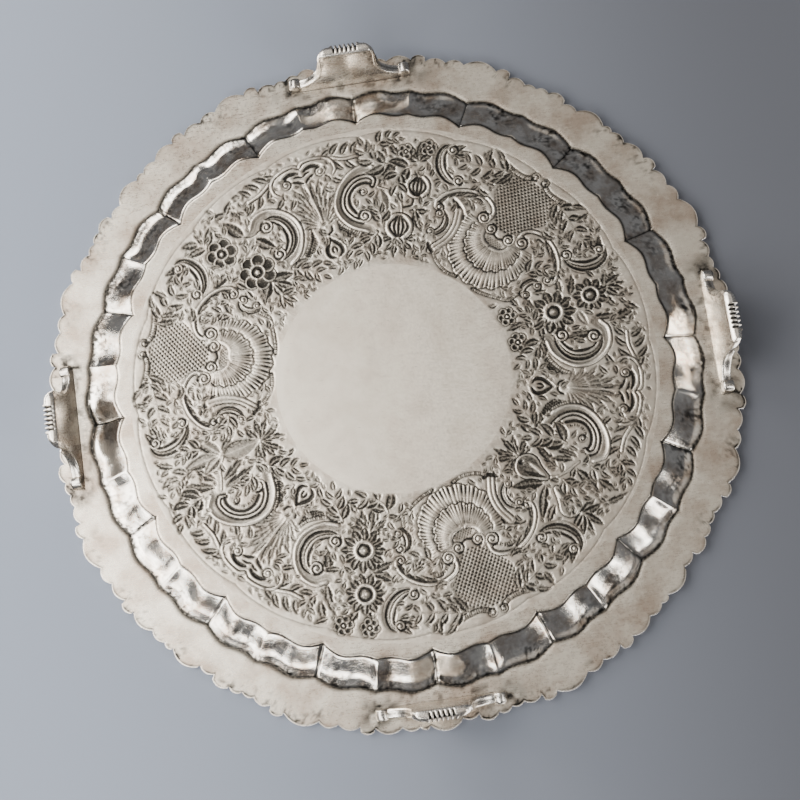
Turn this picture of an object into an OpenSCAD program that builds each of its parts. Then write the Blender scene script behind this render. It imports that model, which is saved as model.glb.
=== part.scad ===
// Large round footed salver: one raised plate, a cast scalloped border soldered on in
// sections, and cast shell-and-scroll feet. It stands on its feet with the serving face up,
// the origin on the table under the centre, and one foot on each horizontal axis.

/* [Plate] */
// Mean radius of the scalloped outer edge
rim_r = 261; // [256:1:275]
// Width of the flange, from the lobed wall to the mean edge
flange_w = 30; // [27:1:49]
// Width of the lobed wall, seen from above
wall_w = 22; // [16:1:24]
// Rise of the lobed wall, from the plate to the flange
wall_h = 10; // [6:0.5:14]
// Thickness of the silver sheet
sheet_t = 1.6; // [1.2:0.1:2.4]
// Number of lobes round the wall
lobes = 16; // [8:4:24]
// Depth of the sharp crease between two lobes, at the plate
crease_in = 4; // [1:0.5:6]
// Depth of the same crease at the flange
crease_out = 2.5; // [0.5:0.5:4]
// Height of the soft wave along each lobe
lobe_wave = 1.1; // [0.2:0.1:2]

/* [Border] */
// Number of border castings
castings = 8; // [4, 6, 8, 10, 12]
// Angle from a foot to the first joint between castings
joint_a = 6.75; // [4:0.25:10]
// Width of the castings, from the mean edge to the inner bead
border_w = 17; // [13:1:21]
// Thickness of a casting's flat base
border_t = 2.4; // [2.2:0.1:3.5]
// Height of the largest boss above the base
boss_h = 3; // [1.5:0.1:4]
// Radius of the bar of a C-scroll
scroll_r = 1.5; // [1:0.1:1.8]
// Radius of the bead along the inner edge
bead_r = 1.8; // [1:0.1:2.2]
// Ribs of the shell on each casting
shell_ribs = 7; // [5:2:9]
// Radius of a shell rib at its outer end
rib_r = 2.1; // [1.2:0.1:2.2]

/* [Feet] */
// Number of feet
feet = 4; // [3, 4, 6]
// Height from the table to the underside of the flange
foot_h = 43; // [30:1:60]
// Distance from the mean edge to the inner face of a foot, at the flange
foot_in = 21; // [19:0.5:24]
// Length of a foot along the flange
foot_l = 95; // [80:1:110]
// Outward lean of a foot, in degrees
foot_lean = 12; // [4:1:14]
// Thickness of a foot's flat web
web_t = 3; // [2:0.25:4]
// Depth of the ribbon that edges the web, outwards
ribbon_w = 7; // [5:0.5:8]
// Thickness of the ribbon
ribbon_t = 2.4; // [1.5:0.1:3.5]
// Width of the shell at the sole
crest_w = 44; // [36:1:52]
// Radius of the shell's rounded corners
crest_r = 9; // [5:0.5:12]
// Height of the straight strip between shell and scroll ends
strip_h = 7; // [5:0.5:10]
// Radius of the scroll at each end of a foot
volute_r = 4.6; // [3.5:0.1:6]
// Flutes across the shell
flutes = 7; // [5:2:9]
// Width of the flat sole under the shell
sole_w = 5; // [3:0.5:6]

/* [Hidden] */
$fn = 48;
wall_r = rim_r - flange_w - wall_w;
border_r = rim_r - border_w;
foot_r = rim_r - foot_in;
// Steps round the plate, a whole number for each half lobe
steps = 480;
// Rings of the wall between the plate and the flange
wall_rings = [0, 0.5, 1];
section_a = 360 / castings;
plate_z = foot_h - wall_h;
flange_z = foot_h + sheet_t;
// Scallops of one casting in turn: share of its length, and reach past the mean edge
scallops = [[6, 1.2], [3, 2.2], [5, 0.4], [4, 1], [8, 3.7], [3, 2.4], [4, -1],
  [3, -2.4], [3, -1.2], [4, 0.5], [4, -3.2], [7, 1.2], [2, -1], [4, -0.6]];
share_sum = sum([for (s = scallops) s[0]]);
// Depth of a scallop as a part of its width
scallop_depth = 0.21;
// Scallop that carries the shell
shell_at = 4;
// Part of the shell's full angle that its ribs fill
shell_spread = 0.62;
// Radius of a boss as a part of its scallop's width
boss_share = 0.46;
// Share of a scallop from which it carries a C-scroll round its boss
scroll_share = 5;
// Turn of a C-scroll, and the size of its end balls and of the boss inside it
scroll_turn = 230;
scroll_ball = 1.4;
scroll_boss = 0.42;
// Height of the bar's middle above the base, as a part of its radius
scroll_seat = 0.3;
// Depth to which a boss is cast into its base
boss_sink = 0.6;
// Margins between the edge and a boss, and between the edge and the shell
boss_margin = 1.2;
shell_margin = 0.6;
// Radius of a rib or flute at its root, as a part of that at its tip
finger_root = 1 / 3;
// Soft wave along a lobe: degrees in a half lobe, and the place of its crest
wave_a = 500;
wave_at = 0.4;
// Power that draws a crease narrow
crease_power = 8;
// Bow of the wall's S, as a part of its rise
wall_bow = 0.1;
// Angle by which a ribbon stops short of the ends of its sweep
ribbon_end_a = 2;
// Room between a sweep and the strip's scroll
sweep_gap = 1;
// Rise of a scroll and of its eye above the ribbon
scroll_rise = 0.6;
eye_rise = 1.8;
// Radius of the eye as a part of its scroll's
eye_share = 0.5;
// Place of the shell's hinge, as a part of the sweep's depth
hinge_share = 1 / 3;
// Radius of a flute as a part of its pitch, so that neighbours overlap
flute_share = 0.57;
// Depth to which the flutes are cast into the web
flute_sink = 2.8;
// Parts of the pitch that the flutes keep at the hinge and at the sole
flute_open = 0.25;
flute_close = 0.9;
// Distance of a flute's tip from the sole, in flute radii, and that of the two outer flutes
flute_tip = 0.8;
outer_tip = 1.6;
cut = 2 * rim_r;

function sum(v, i = 0) = i < len(v) ? v[i] + sum(v, i + 1) : 0;
function polar(r, a) = [r * cos(a), r * sin(a)];

// Start of scallop i, as an angle from the start of its casting
function scallop_start(i) = i == 0 ? 0 : scallop_start(i - 1) + scallop_a(i - 1);
function scallop_a(i) = section_a * scallops[i][0] / share_sum;
function scallop_w(i) = 2 * rim_r * sin(scallop_a(i) / 2);
function scallop_mid(i) = scallop_start(i) + scallop_a(i) / 2;
function scallop_r(i) = rim_r + scallops[i][1];
starts = [for (i = [0 : len(scallops) - 1]) scallop_start(i)];

// Edge radius at angle a from the start of a casting: a row of shallow round scallops
function edge_r(a, i = 0) =
  let (t = (a - starts[i]) / scallop_a(i) * 2 - 1)
  t <= 1 || i == len(scallops) - 1
    ? scallop_r(i) - scallop_depth * scallop_w(i) * t * t : edge_r(a, i + 1);
function rim_edge(a) =
  let (b = a - joint_a, k = floor(b / section_a)) edge_r(b - k * section_a);

// Offset of the lobed wall: a soft wave along the lobe, and a notch at the crease
function lobe(a, notch) =
  let (pitch = 360 / lobes, b = a - pitch * round(a / pitch), u = abs(b) / pitch * 2)
  lobe_wave * cos(wave_a * (u - wave_at)) - notch * pow(1 - u, crease_power);
function wall_in(a) = wall_r + lobe(a, crease_in);
function wall_out(a) = wall_r + wall_w + lobe(a, crease_out);
// The wall rises in an S from the plate to the flange
function wall_rise(s) = wall_h * (s - wall_bow * sin(360 * s));

function ring(z, r) = [for (p = r) [p[0], p[1], z]];
function wall_ring(s, z) =
  ring(z + wall_rise(s), [for (i = [0 : steps - 1])
    let (a = 360 * i / steps) polar((1 - s) * wall_in(a) + s * wall_out(a), a)]);
function edge_ring(z) =
  ring(z, [for (i = [0 : steps - 1]) let (a = 360 * i / steps) polar(rim_edge(a), a)]);
function flat(v) = [for (part = v) each part];

// Sheet: a fan over the flat plate on each face, then rings out over the wall and flange
module plate() {
  rings = concat(
    [for (s = wall_rings) wall_ring(s, plate_z)], [edge_ring(foot_h), edge_ring(flange_z)],
    [for (j = [len(wall_rings) - 1 : -1 : 0]) wall_ring(wall_rings[j], plate_z + sheet_t)]);
  last = len(rings) - 1;
  centres = [[0, 0, plate_z], [0, 0, plate_z + sheet_t]];
  bottom = len(rings) * steps;
  top = bottom + 1;
  around = [for (j = [0 : last - 1], i = [0 : steps - 1])
    let (n = (i + 1) % steps, a = j * steps + i, b = j * steps + n,
      c = b + steps, d = a + steps) each [[a, d, c], [a, c, b]]];
  fans = [for (i = [0 : steps - 1]) let (n = (i + 1) % steps)
    each [[bottom, i, n], [top, last * steps + n, last * steps + i]]];
  color("silver")
    polyhedron(concat(flat(rings), centres), concat(around, fans), convexity = 6);
}

// Round boss of height h on a base of radius r
module boss(r, h) {
  ball_r = (r * r + h * h) / (2 * h);
  rotate_extrude()
    intersection() {
      translate([0, h - ball_r]) circle(ball_r);
      square([r, h]);
    }
}

// Tapered finger of length l with a round tip
module finger(r1, r2, l) {
  rotate_extrude()
    polygon(concat([[0, 0], [r1, 0]],
      [for (a = [0 : 15 : 90]) [a == 90 ? 0 : r2 * cos(a), l + r2 * sin(a)]]));
}

// Ribs that fan out from a hinge point and end in a round lip
module rib_fan(count, spread, length, tip_r) {
  for (j = [0 : count - 1])
    rotate(spread * (j / (count - 1) - 0.5))
      rotate([0, 90, 0]) finger(tip_r * finger_root, tip_r, length);
}

// C-scroll open to the outer edge: a bent round bar with a ball at each end
module c_scroll(r) {
  rotate(180 - scroll_turn / 2)
    rotate_extrude(angle = scroll_turn) translate([r, 0]) circle(scroll_r);
  for (side = [-1, 1])
    translate(polar(r, 180 + side * scroll_turn / 2)) sphere(scroll_r * scroll_ball);
}

// One border casting: scalloped base, inner bead, a shell on the widest scallop, C-scrolls on
// the wide ones and round bosses on the rest
module border_casting(i) {
  edge_steps = share_sum;
  outer = [for (k = [0 : edge_steps])
    let (a = section_a * k / edge_steps) polar(edge_r(a), a)];
  shell_w = scallop_w(shell_at);
  shell_l = scallop_r(shell_at) - border_r - 2 * bead_r - 2 * rib_r;
  color("silver")
    rotate(joint_a + section_a * i) translate([0, 0, flange_z]) {
      difference() {
        linear_extrude(border_t) polygon(concat([[0, 0]], outer));
        translate([0, 0, -1]) cylinder(r = border_r, h = border_t + 2, $fn = 360);
      }
      rotate_extrude(angle = section_a, $fn = 360)
        translate([border_r + bead_r, border_t]) circle(bead_r);
      for (k = [0 : len(scallops) - 1])
        rotate(scallop_mid(k)) {
          room = scallop_r(k) - border_r - 2 * bead_r - boss_margin;
          w = min(boss_share * scallop_w(k), room / 2);
          at_r = scallop_r(k) - boss_margin - w;
          if (k == shell_at)
            translate([scallop_r(k) - shell_l - rib_r - shell_margin, 0, border_t])
              rib_fan(shell_ribs, 2 * atan(shell_w / 2 / shell_l) * shell_spread, shell_l, rib_r);
          else if (scallops[k][0] >= scroll_share) {
            translate([at_r, 0, border_t + scroll_seat * scroll_r]) c_scroll(w - scroll_r);
            translate([at_r, 0, border_t - boss_sink]) boss(w * scroll_boss, boss_h + boss_sink);
          } else
            translate([at_r, 0, border_t - boss_sink]) boss(w, boss_h * w / room * 2 + boss_sink);
        }
    }
}

// Places its children on a foot's leaning face: x along the flange, y down, z outwards
module on_foot_face() {
  translate([0, foot_r, foot_h]) rotate([foot_lean - 90, 0, 0]) children();
}

function arc(c, r, from, to, n = 8) =
  [for (k = [0 : n]) c + polar(r, from + (to - from) * k / n)];

// Right half of a foot's outline: strip along the flange, sweep in, shell with a round corner
function half_outline(sole_y, sweep_r) = concat(
  [[foot_l / 2 - volute_r, -web_t], [foot_l / 2 - volute_r, strip_h]],
  arc([crest_w / 2 + sweep_r, strip_h + sweep_r], sweep_r, 270, 180),
  arc([crest_w / 2 - crest_r, sole_y - crest_r], crest_r, 0, 90));
function mirrored(v) = [for (j = [len(v) - 1 : -1 : 0]) [-v[j][0], v[j][1]]];

// One cast foot: flat web, ribbon along each sweep, scroll ends and a fluted shell
module foot(i) {
  sole_y = foot_h / cos(foot_lean) + sole_w * tan(foot_lean);
  sweep_r = min(foot_l / 2 - volute_r - crest_w / 2, sole_y - crest_r - strip_h) - sweep_gap;
  sweep_c = [crest_w / 2 + sweep_r, strip_h + sweep_r];
  half = half_outline(sole_y, sweep_r);
  ribbon_from = 270 - ribbon_end_a;
  ribbon_to = 180 + ribbon_end_a;
  ribbon = concat(arc(sweep_c, sweep_r, ribbon_from, ribbon_to),
    arc(sweep_c, sweep_r + ribbon_t, ribbon_to, ribbon_from));
  flute_w = crest_w / flutes;
  flute_r = flute_share * flute_w;
  hinge_y = strip_h + sweep_r * hinge_share;
  color("silver")
    rotate(360 / feet * i - 90)
      difference() {
        on_foot_face() {
          linear_extrude(web_t) polygon(concat(half, mirrored(half)));
          for (side = [0, 1]) mirror([side, 0, 0]) {
            linear_extrude(ribbon_w) polygon(ribbon);
            // Scroll end with a raised eye
            translate([foot_l / 2 - volute_r, strip_h - volute_r * eye_share]) {
              cylinder(r = volute_r, h = ribbon_w + scroll_rise);
              cylinder(r = volute_r * eye_share, h = ribbon_w + eye_rise);
            }
          }
          // Shell: flutes fan out from a hinge and stop at the sole
          for (j = [0 : flutes - 1]) {
            x = (j - (flutes - 1) / 2) * flute_w;
            root = [x * flute_open, hinge_y];
            outer = j == 0 || j == flutes - 1;
            tip = [x * flute_close, sole_y - flute_r * (outer ? outer_tip : flute_tip)];
            translate([root[0], root[1], web_t + flute_r - flute_sink])
              rotate([-90, 0, -atan((tip[0] - root[0]) / (tip[1] - root[1]))])
                finger(flute_r * finger_root, flute_r, norm(tip - root));
          }
        }
        translate([0, 0, foot_h]) cylinder(r = cut, h = foot_h);
        translate([0, 0, -foot_h]) cylinder(r = cut, h = foot_h);
      }
}

plate();
for (i = [0 : castings - 1])
  border_casting(i);
for (i = [0 : feet - 1])
  foot(i);
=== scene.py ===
# %% [markdown]
# # A large footed silver salver, seen from below
#
# The salver stands on its four feet with the serving face up. The view of interest is the
# underside: a plain round centre, a wide band of chased ornament seen from the back, a lobed wall,
# a scalloped flange and cast feet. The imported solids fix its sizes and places; this lesson dresses
# them with relief, cast detail and worn silver.

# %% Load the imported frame
import math

import bmesh
import bpy
import numpy as np
from mathutils import Matrix, Vector


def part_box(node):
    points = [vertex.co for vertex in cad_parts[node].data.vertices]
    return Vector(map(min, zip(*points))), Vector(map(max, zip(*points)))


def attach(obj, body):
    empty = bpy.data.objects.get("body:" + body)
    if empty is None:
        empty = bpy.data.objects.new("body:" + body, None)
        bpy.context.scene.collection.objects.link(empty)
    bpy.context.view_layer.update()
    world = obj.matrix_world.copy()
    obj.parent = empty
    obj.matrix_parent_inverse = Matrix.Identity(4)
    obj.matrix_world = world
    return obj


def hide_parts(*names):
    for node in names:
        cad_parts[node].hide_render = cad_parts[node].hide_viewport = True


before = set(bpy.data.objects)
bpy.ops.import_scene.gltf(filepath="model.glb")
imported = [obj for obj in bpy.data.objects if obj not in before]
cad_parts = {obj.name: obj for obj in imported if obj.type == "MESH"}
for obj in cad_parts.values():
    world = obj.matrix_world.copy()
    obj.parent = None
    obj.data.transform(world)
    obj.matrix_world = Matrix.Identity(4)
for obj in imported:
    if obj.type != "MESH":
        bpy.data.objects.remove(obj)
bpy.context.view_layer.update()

# %% [markdown]
# ## Sizes
#
# Lengths are in millimetres until a mesh is made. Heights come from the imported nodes, so the
# dressed pieces always sit where the solids are. Radii are those of the solids, counted inwards from
# the edge, as a silversmith would mark them out. Angles run round the plate from the foot on +X.

# %% Driving sizes
MM = 0.001
RIM_R = 261.0
FLANGE_W = 30.0
WALL_W = 22.0
BORDER_W = 17.0
FOOT_IN = 21.0
FOOT_L = 95.0
LOBES = 16
CASTINGS = 8
FEET = 4
# The chased pattern is laid out in the plane as it is seen from below, turned by this angle
PATTERN_TURN = 8.1
WALL_R = RIM_R - FLANGE_W - WALL_W
BORDER_R = RIM_R - BORDER_W
FOOT_R = RIM_R - FOOT_IN

plate_low, plate_high = [np.array(corner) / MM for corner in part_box("plate")]
foot_high = np.array(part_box("foot_1")[1]) / MM
casting_high = np.array(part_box("border_casting_1")[1]) / MM
PLATE_Z = plate_low[2]
FLANGE_TOP = plate_high[2]
FLANGE_Z = foot_high[2]
SHEET_T = FLANGE_TOP - FLANGE_Z
WALL_H = FLANGE_Z - PLATE_Z
print(f"plate {PLATE_Z:.1f}, flange {FLANGE_Z:.1f} to {FLANGE_TOP:.1f} mm,",
      f"border top {casting_high[2]:.1f} mm")

# %% [markdown]
# ## From arrays to meshes
#
# Every piece is a set of grids: points as a function of two parameters, worked out as whole
# arrays. Small functions join grids into a closed mesh, hand it to Blender in bulk, tie the piece
# to the body, hide the node that it replaces and give it the finish that it takes. Modelling by
# hand in Edit Mode could give the same forms, but a formula keeps every lobe and flute to its size.

# %% Grids and meshes
def grid_quads(rows, cols, start=0, flip=False):
    """Quads of a grid of rows by cols points, numbered row by row from start."""
    i, j = np.meshgrid(np.arange(rows - 1), np.arange(cols - 1), indexing="ij")
    a = start + i * cols + j
    quads = np.stack([a, a + 1, a + 1 + cols, a + cols], -1).reshape(-1, 4)
    return quads[:, ::-1] if flip else quads


def make_mesh(name, points, quads, tarnish_and_shade, normals=None):
    """Mesh from points in millimetres, quads, and a darkness for each point, shaded smooth."""
    mesh = bpy.data.meshes.new(name)
    mesh.vertices.add(len(points))
    mesh.vertices.foreach_set("co", np.ascontiguousarray(points * MM, np.float32).ravel())
    mesh.loops.add(quads.size)
    mesh.loops.foreach_set("vertex_index", np.ascontiguousarray(quads, np.int32).ravel())
    mesh.polygons.add(len(quads))
    mesh.polygons.foreach_set("loop_start", np.arange(0, quads.size, 4, dtype=np.int32))
    mesh.polygons.foreach_set("use_smooth", np.ones(len(quads), bool))
    mesh.update(calc_edges=True)
    # Darkness of each point: tarnish, and on the chased band and beside the wall's outer bend painted shade
    # too
    layer = mesh.attributes.new("tarnish_and_shade", "FLOAT", "POINT")
    layer.data.foreach_set("value", np.ascontiguousarray(tarnish_and_shade, np.float32))
    if normals is not None:
        mesh.normals_split_custom_set_from_vertices(normals)
    return mesh


print("a grid of 3 by 4 points has", len(grid_quads(3, 4)), "quads")

# %% Pieces
def place(name, mesh, node, material):
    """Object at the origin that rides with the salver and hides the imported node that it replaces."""
    piece = bpy.data.objects.new(name, mesh)
    bpy.context.scene.collection.objects.link(piece)
    piece.data.materials.append(material)
    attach(piece, "root")
    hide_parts(node)
    print(f"{name}: {sum(len(p.vertices) - 2 for p in mesh.polygons)} triangles")


print("pieces ride on the salver's one body")

# %% [markdown]
# ## The camera
#
# The photograph looks at the underside from about one and a half metres, a little off the plate's
# axis. The view is worked out in the plane as seen from below, x to the right and y up, and then
# turned into the standing frame, which is a half turn about x and a small turn about the axis. A
# Track To constraint could aim the camera, but the plate is off the middle of the frame, so the axes
# are worked out and the lens is shifted.

# %% Camera
VIEW_DISTANCE = 1428.0
VIEW_TILT = 76.34
VIEW_SIDE = 11.68
FOCAL_PX = 1911.5
IMAGE_PX = 800
CENTRE_PX = (393.2, 377.2)


def from_below(x, y, z=0.0):
    """Vector in the standing frame for x right, y up and z towards a viewer below the plate."""
    turn = math.radians(PATTERN_TURN)
    c, s = math.cos(turn), math.sin(turn)
    return Vector((c * x + s * y, s * x - c * y, -z))


tilt, side = math.radians(VIEW_TILT), math.radians(VIEW_SIDE)
back = Vector((math.sin(side) * math.cos(tilt), -math.cos(side) * math.cos(tilt), math.sin(tilt)))
right = Vector((0, 1, 0)).cross(back).normalized()
up = back.cross(right)
axes = [from_below(*v) for v in (right, up, back)]
plate_centre = Vector((0, 0, PLATE_Z))

camera = bpy.data.objects.new("camera", bpy.data.cameras.new("camera"))
camera.data.sensor_width = 36.0
camera.data.lens = FOCAL_PX * camera.data.sensor_width / IMAGE_PX
camera.data.shift_x = 0.5 - CENTRE_PX[0] / IMAGE_PX
camera.data.shift_y = CENTRE_PX[1] / IMAGE_PX - 0.5
camera.data.clip_start, camera.data.clip_end = 0.05, 50
pose = Matrix(axes).transposed().to_4x4()
pose.translation = (plate_centre + axes[2] * VIEW_DISTANCE) * MM
camera.matrix_world = pose
bpy.context.scene.collection.objects.link(camera)
bpy.context.scene.camera = camera
print("camera at", [round(v, 3) for v in camera.location])

# %% [markdown]
# ## Stage and light
#
# Two sheets serve the two sides of the salver: a pale floor under the feet, seen from above,
# and a grey board at the border, seen from below, on which the salver lies face down in the
# photograph. Each sheet shows only its front and casts nothing on the salver. Both carry a painted
# falloff of light, lighter at the viewer's left and darker to the right, the board much more so.
# The light is soft.
# Below the plate a tall panel stands at the viewer's left, with two weaker ones beside and behind
# the viewer; three panels light the serving face. Polished silver mirrors the room, so four small
# panels stand round the underside, and each gives some facets of the wall a glint.

# %% Colours and nodes
def colour(code):
    """Linear RGBA for an sRGB hex code such as "#D8D3C9"."""
    channels = [int(code[i:i + 2], 16) / 255 for i in (1, 3, 5)]
    return [c / 12.92 if c <= 0.04045 else ((c + 0.055) / 1.055) ** 2.4 for c in channels] + [1.0]


def add(tree, kind, settings=None, **links):
    """Node of one kind, with settings by name, and links or values for its inputs.

    An input is called by its name, or by i and its number where names repeat.
    """
    node = tree.nodes.new(kind)
    for key, value in (settings or {}).items():
        setattr(node, key, value)
    for key, value in links.items():
        target = node.inputs[int(key[1:])] if key[0] == "i" and key[1:].isdigit() else node.inputs[key]
        if isinstance(value, bpy.types.NodeSocket):
            tree.links.new(value, target)
        else:
            target.default_value = value
    return node


def new_material(name):
    """Empty node material with its output node."""
    material = bpy.data.materials.new(name)
    material.use_nodes = True
    material.node_tree.nodes.clear()
    return material, material.node_tree, material.node_tree.nodes.new("ShaderNodeOutputMaterial")


print("mid grey in linear light:", round(colour("#808080")[0], 3))

# %% Stage sheets
# Half a sheet, and half the width over which its painted falloff of light runs, in metres
STAGE_HALF = 8.0
SHADE_HALF = 0.34
BOARD_GAP = 0.3


def one_sided(name, lit_left_code, shaded_right_code):
    """Matt paper that shows on its front only, with painted shade: lighter at the viewer's left, darker to
    the right.
    """
    material, tree, output = new_material(name)
    where = add(tree, "ShaderNodeTexCoord").outputs["Object"]
    across = add(tree, "ShaderNodeVectorMath", {"operation": "DOT_PRODUCT"}, i0=where,
                 i1=from_below(1, 0.12).normalized()).outputs["Value"]
    share = add(tree, "ShaderNodeMapRange", {"interpolation_type": "SMOOTHSTEP"}, i0=across,
                i1=-SHADE_HALF, i2=SHADE_HALF).outputs[0]
    # Painted falloff of light: the lit colour at the left, the shaded colour at the right
    tone = add(tree, "ShaderNodeMix", {"data_type": "RGBA"}, i0=share, i6=colour(lit_left_code),
               i7=colour(shaded_right_code)).outputs[2]
    paper = add(tree, "ShaderNodeBsdfDiffuse", Color=tone, Roughness=0.6)
    clear = add(tree, "ShaderNodeBsdfTransparent")
    sides = add(tree, "ShaderNodeNewGeometry")
    both = add(tree, "ShaderNodeMixShader", i0=sides.outputs["Backfacing"],
               i1=paper.outputs[0], i2=clear.outputs[0])
    tree.links.new(both.outputs[0], output.inputs["Surface"])
    return material


def stage_sheet(name, z, half, up_side, codes):
    """Square sheet at height z whose front faces up or down."""
    corners = [(-half, -half, z), (half, -half, z), (half, half, z), (-half, half, z)]
    mesh = bpy.data.meshes.new(name)
    mesh.from_pydata(corners, [], [(0, 1, 2, 3) if up_side else (3, 2, 1, 0)])
    sheet = bpy.data.objects.new(name, mesh)
    mesh.materials.append(one_sided(name + "_painted_falloff_paper", *codes))
    for ray in ("visible_shadow", "visible_diffuse", "visible_glossy"):
        setattr(sheet, ray, False)
    bpy.context.scene.collection.objects.link(sheet)


# Both sheets carry painted falloff of light; the board's runs from pale grey to dark grey
stage_sheet("floor", 0.0, STAGE_HALF, True, ("#DCDCDA", "#D2D2D0"))
stage_sheet("board", (casting_high[2] + BOARD_GAP) * MM, STAGE_HALF, False, ("#929AA9", "#5A5C63"))
print("floor under the feet and board at the border")

# %% Lights
def panel(name, spot, size, power, tint):
    """Soft rectangular light at a spot in metres from the plate's centre, aimed at that centre."""
    light = bpy.data.lights.new(name, "AREA")
    light.shape = "RECTANGLE"
    light.size, light.size_y = size
    light.energy = power
    light.color = colour(tint)[:3]
    lamp = bpy.data.objects.new(name, light)
    lamp.location = plate_centre * MM + spot
    lamp.rotation_euler = (-spot).to_track_quat("-Z", "Y").to_euler()
    bpy.context.scene.collection.objects.link(lamp)


panel("key_below", from_below(-1.45, 0.05, 0.85), (1.0, 2.1), 48, "#FFFBF4")
panel("sky_below", from_below(-0.75, 0.05, 1.45), (1.0, 1.0), 13, "#FFFCF6")
panel("fill_below", from_below(0.35, 0.4, 2.0), (2.2, 1.8), 5, "#FFF6E8")
panel("rim_below", from_below(1.2, -0.7, 0.6), (0.35, 1.2), 9, "#FFFDF8")
panel("front_below", from_below(-0.35, -1.15, 1.0), (0.7, 0.5), 9, "#FFFDF8")
panel("corner_below", from_below(-1.05, -0.8, 0.95), (0.6, 0.8), 12, "#FFFDF8")
panel("back_below", from_below(-0.75, 0.95, 0.85), (0.6, 0.5), 9, "#FFFDF8")
panel("key_above", Vector((-1.3, -0.8, 1.2)), (1.4, 1.4), 55, "#FFFBF4")
panel("sky_above", Vector((0.3, 0.6, 1.9)), (2.0, 1.6), 46, "#FBFBFF")
panel("back_above", Vector((1.1, 1.2, 0.75)), (1.8, 0.9), 24, "#FFFBF4")

world = bpy.data.worlds.new("studio")
world.use_nodes = True
bpy.context.scene.world = world
backdrop = next(n for n in world.node_tree.nodes if n.type == "BACKGROUND")
backdrop.inputs["Color"].default_value = colour("#C3C6CC")
backdrop.inputs["Strength"].default_value = 0.28
print("soft panels on both sides of the plate")

# %% [markdown]
# ## Worn silver
#
# Old sterling silver is softly buffed on its flats and nearly black where sulphide tarnish stays in
# the recesses. The mesh carries that darkness as an attribute, so that it follows the chasing
# exactly, which a noise in the material could not. The same attribute carries painted shade on one
# side of leaves, strips and pears in the chased band, and a painted shadow along the wall's outer
# bend. Over it come cloudy stains, a fine grain, rubbing scratches and short dark nicks, all in
# Object coordinates. Real rubbing marks are about a tenth of a millimetre; grain and scratches are
# drawn coarser so that they show from here.

# %% Silver
CLEAN_SILVER = "#E2DACC"
BRIGHT_SILVER = "#F5F0E8"
STAINED_SILVER = "#B8A899"
# Dark colour for tarnish and for the painted shade carried with it
TARNISH_AND_SHADE = "#32302D"
# Length, slimness and direction of rubbing scratches and of nicks
SCRATCH_MM, SCRATCH_SLIM, SCRATCH_TURN = 9, 14, 0.5
NICK_MM, NICK_SLIM, NICK_TURN = 6, 7, 2.2


def silver(name, rough_low, rough_high, cloud_mm, grain_mm, bump_mm, stains, clean=CLEAN_SILVER):
    """Metal whose colour follows tarnish with painted shade, stains and nicks, and its roughness scratches
    and grain.
    """
    material, tree, output = new_material(name)
    where = add(tree, "ShaderNodeTexCoord").outputs["Object"]
    dark = add(tree, "ShaderNodeAttribute", {"attribute_name": "tarnish_and_shade"}).outputs["Fac"]
    cloud = add(tree, "ShaderNodeTexNoise", Vector=where, Scale=1 / (cloud_mm * MM), Detail=5.0,
                Roughness=0.6).outputs[0]
    grain = add(tree, "ShaderNodeTexNoise", Vector=where, Scale=1 / (grain_mm * MM), Detail=3.0,
                Roughness=0.65).outputs[0]
    turned = add(tree, "ShaderNodeMapping", Vector=where, Rotation=(0, 0, SCRATCH_TURN),
                 Scale=(1, SCRATCH_SLIM, SCRATCH_SLIM))
    scratch = add(tree, "ShaderNodeTexNoise", Vector=turned.outputs[0], Scale=1 / (SCRATCH_MM * MM),
                  Detail=2.0, Roughness=0.7).outputs[0]
    stain = add(tree, "ShaderNodeMapRange", i0=cloud, i1=0.4, i2=0.65, i3=0.08,
                i4=stains).outputs[0]
    base = add(tree, "ShaderNodeMix", {"data_type": "RGBA"}, i0=stain, i6=colour(clean),
               i7=colour(STAINED_SILVER)).outputs[2]
    spread = add(tree, "ShaderNodeMapRange", i0=grain, i1=0.25, i2=0.75, i3=0.7, i4=1.25).outputs[0]
    knock = add(tree, "ShaderNodeMapping", Vector=where, Rotation=(0, 0, NICK_TURN),
                Scale=(1, NICK_SLIM, NICK_SLIM))
    nick = add(tree, "ShaderNodeTexNoise", Vector=knock.outputs[0], Scale=1 / (NICK_MM * MM),
               Detail=1.0).outputs[0]
    nicks = add(tree, "ShaderNodeMapRange", i0=nick, i1=0.71, i2=0.84, i3=0.0, i4=0.4).outputs[0]
    patchy = add(tree, "ShaderNodeMath", {"operation": "MULTIPLY_ADD"}, i0=dark, i1=spread,
                 i2=nicks).outputs[0]
    depth = add(tree, "ShaderNodeMapRange", i0=patchy, i1=0.02, i2=0.9).outputs[0]
    tone = add(tree, "ShaderNodeMix", {"data_type": "RGBA"}, i0=depth, i6=base,
               i7=colour(TARNISH_AND_SHADE)).outputs[2]
    streak = add(tree, "ShaderNodeMath", {"operation": "ADD"}, i0=scratch, i1=grain).outputs[0]
    rough = add(tree, "ShaderNodeMapRange", i0=streak, i1=0.75, i2=1.25, i3=rough_low,
                i4=rough_high).outputs[0]
    bump = add(tree, "ShaderNodeBump", Height=streak, Strength=0.5, Distance=bump_mm * MM).outputs[0]
    shader = add(tree, "ShaderNodeBsdfPrincipled", Metallic=1.0, Roughness=rough, Normal=bump)
    tree.links.new(tone, shader.inputs["Base Color"])
    tree.links.new(shader.outputs[0], output.inputs["Surface"])
    return material


print("silver from", CLEAN_SILVER, "to", TARNISH_AND_SHADE)

# %% Five finishes
# Buffed centre: a wide, soft sheen with faint clouds
sheet_silver = silver("buffed_sheet_silver", 0.33, 0.5, 22, 1.6, 0.05, 0.4)
# Chased ground: a tighter sheen, so that every punched edge catches a small light
chased_silver = silver("chased_sheet_silver", 0.28, 0.44, 16, 1.4, 0.05, 0.7)
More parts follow.
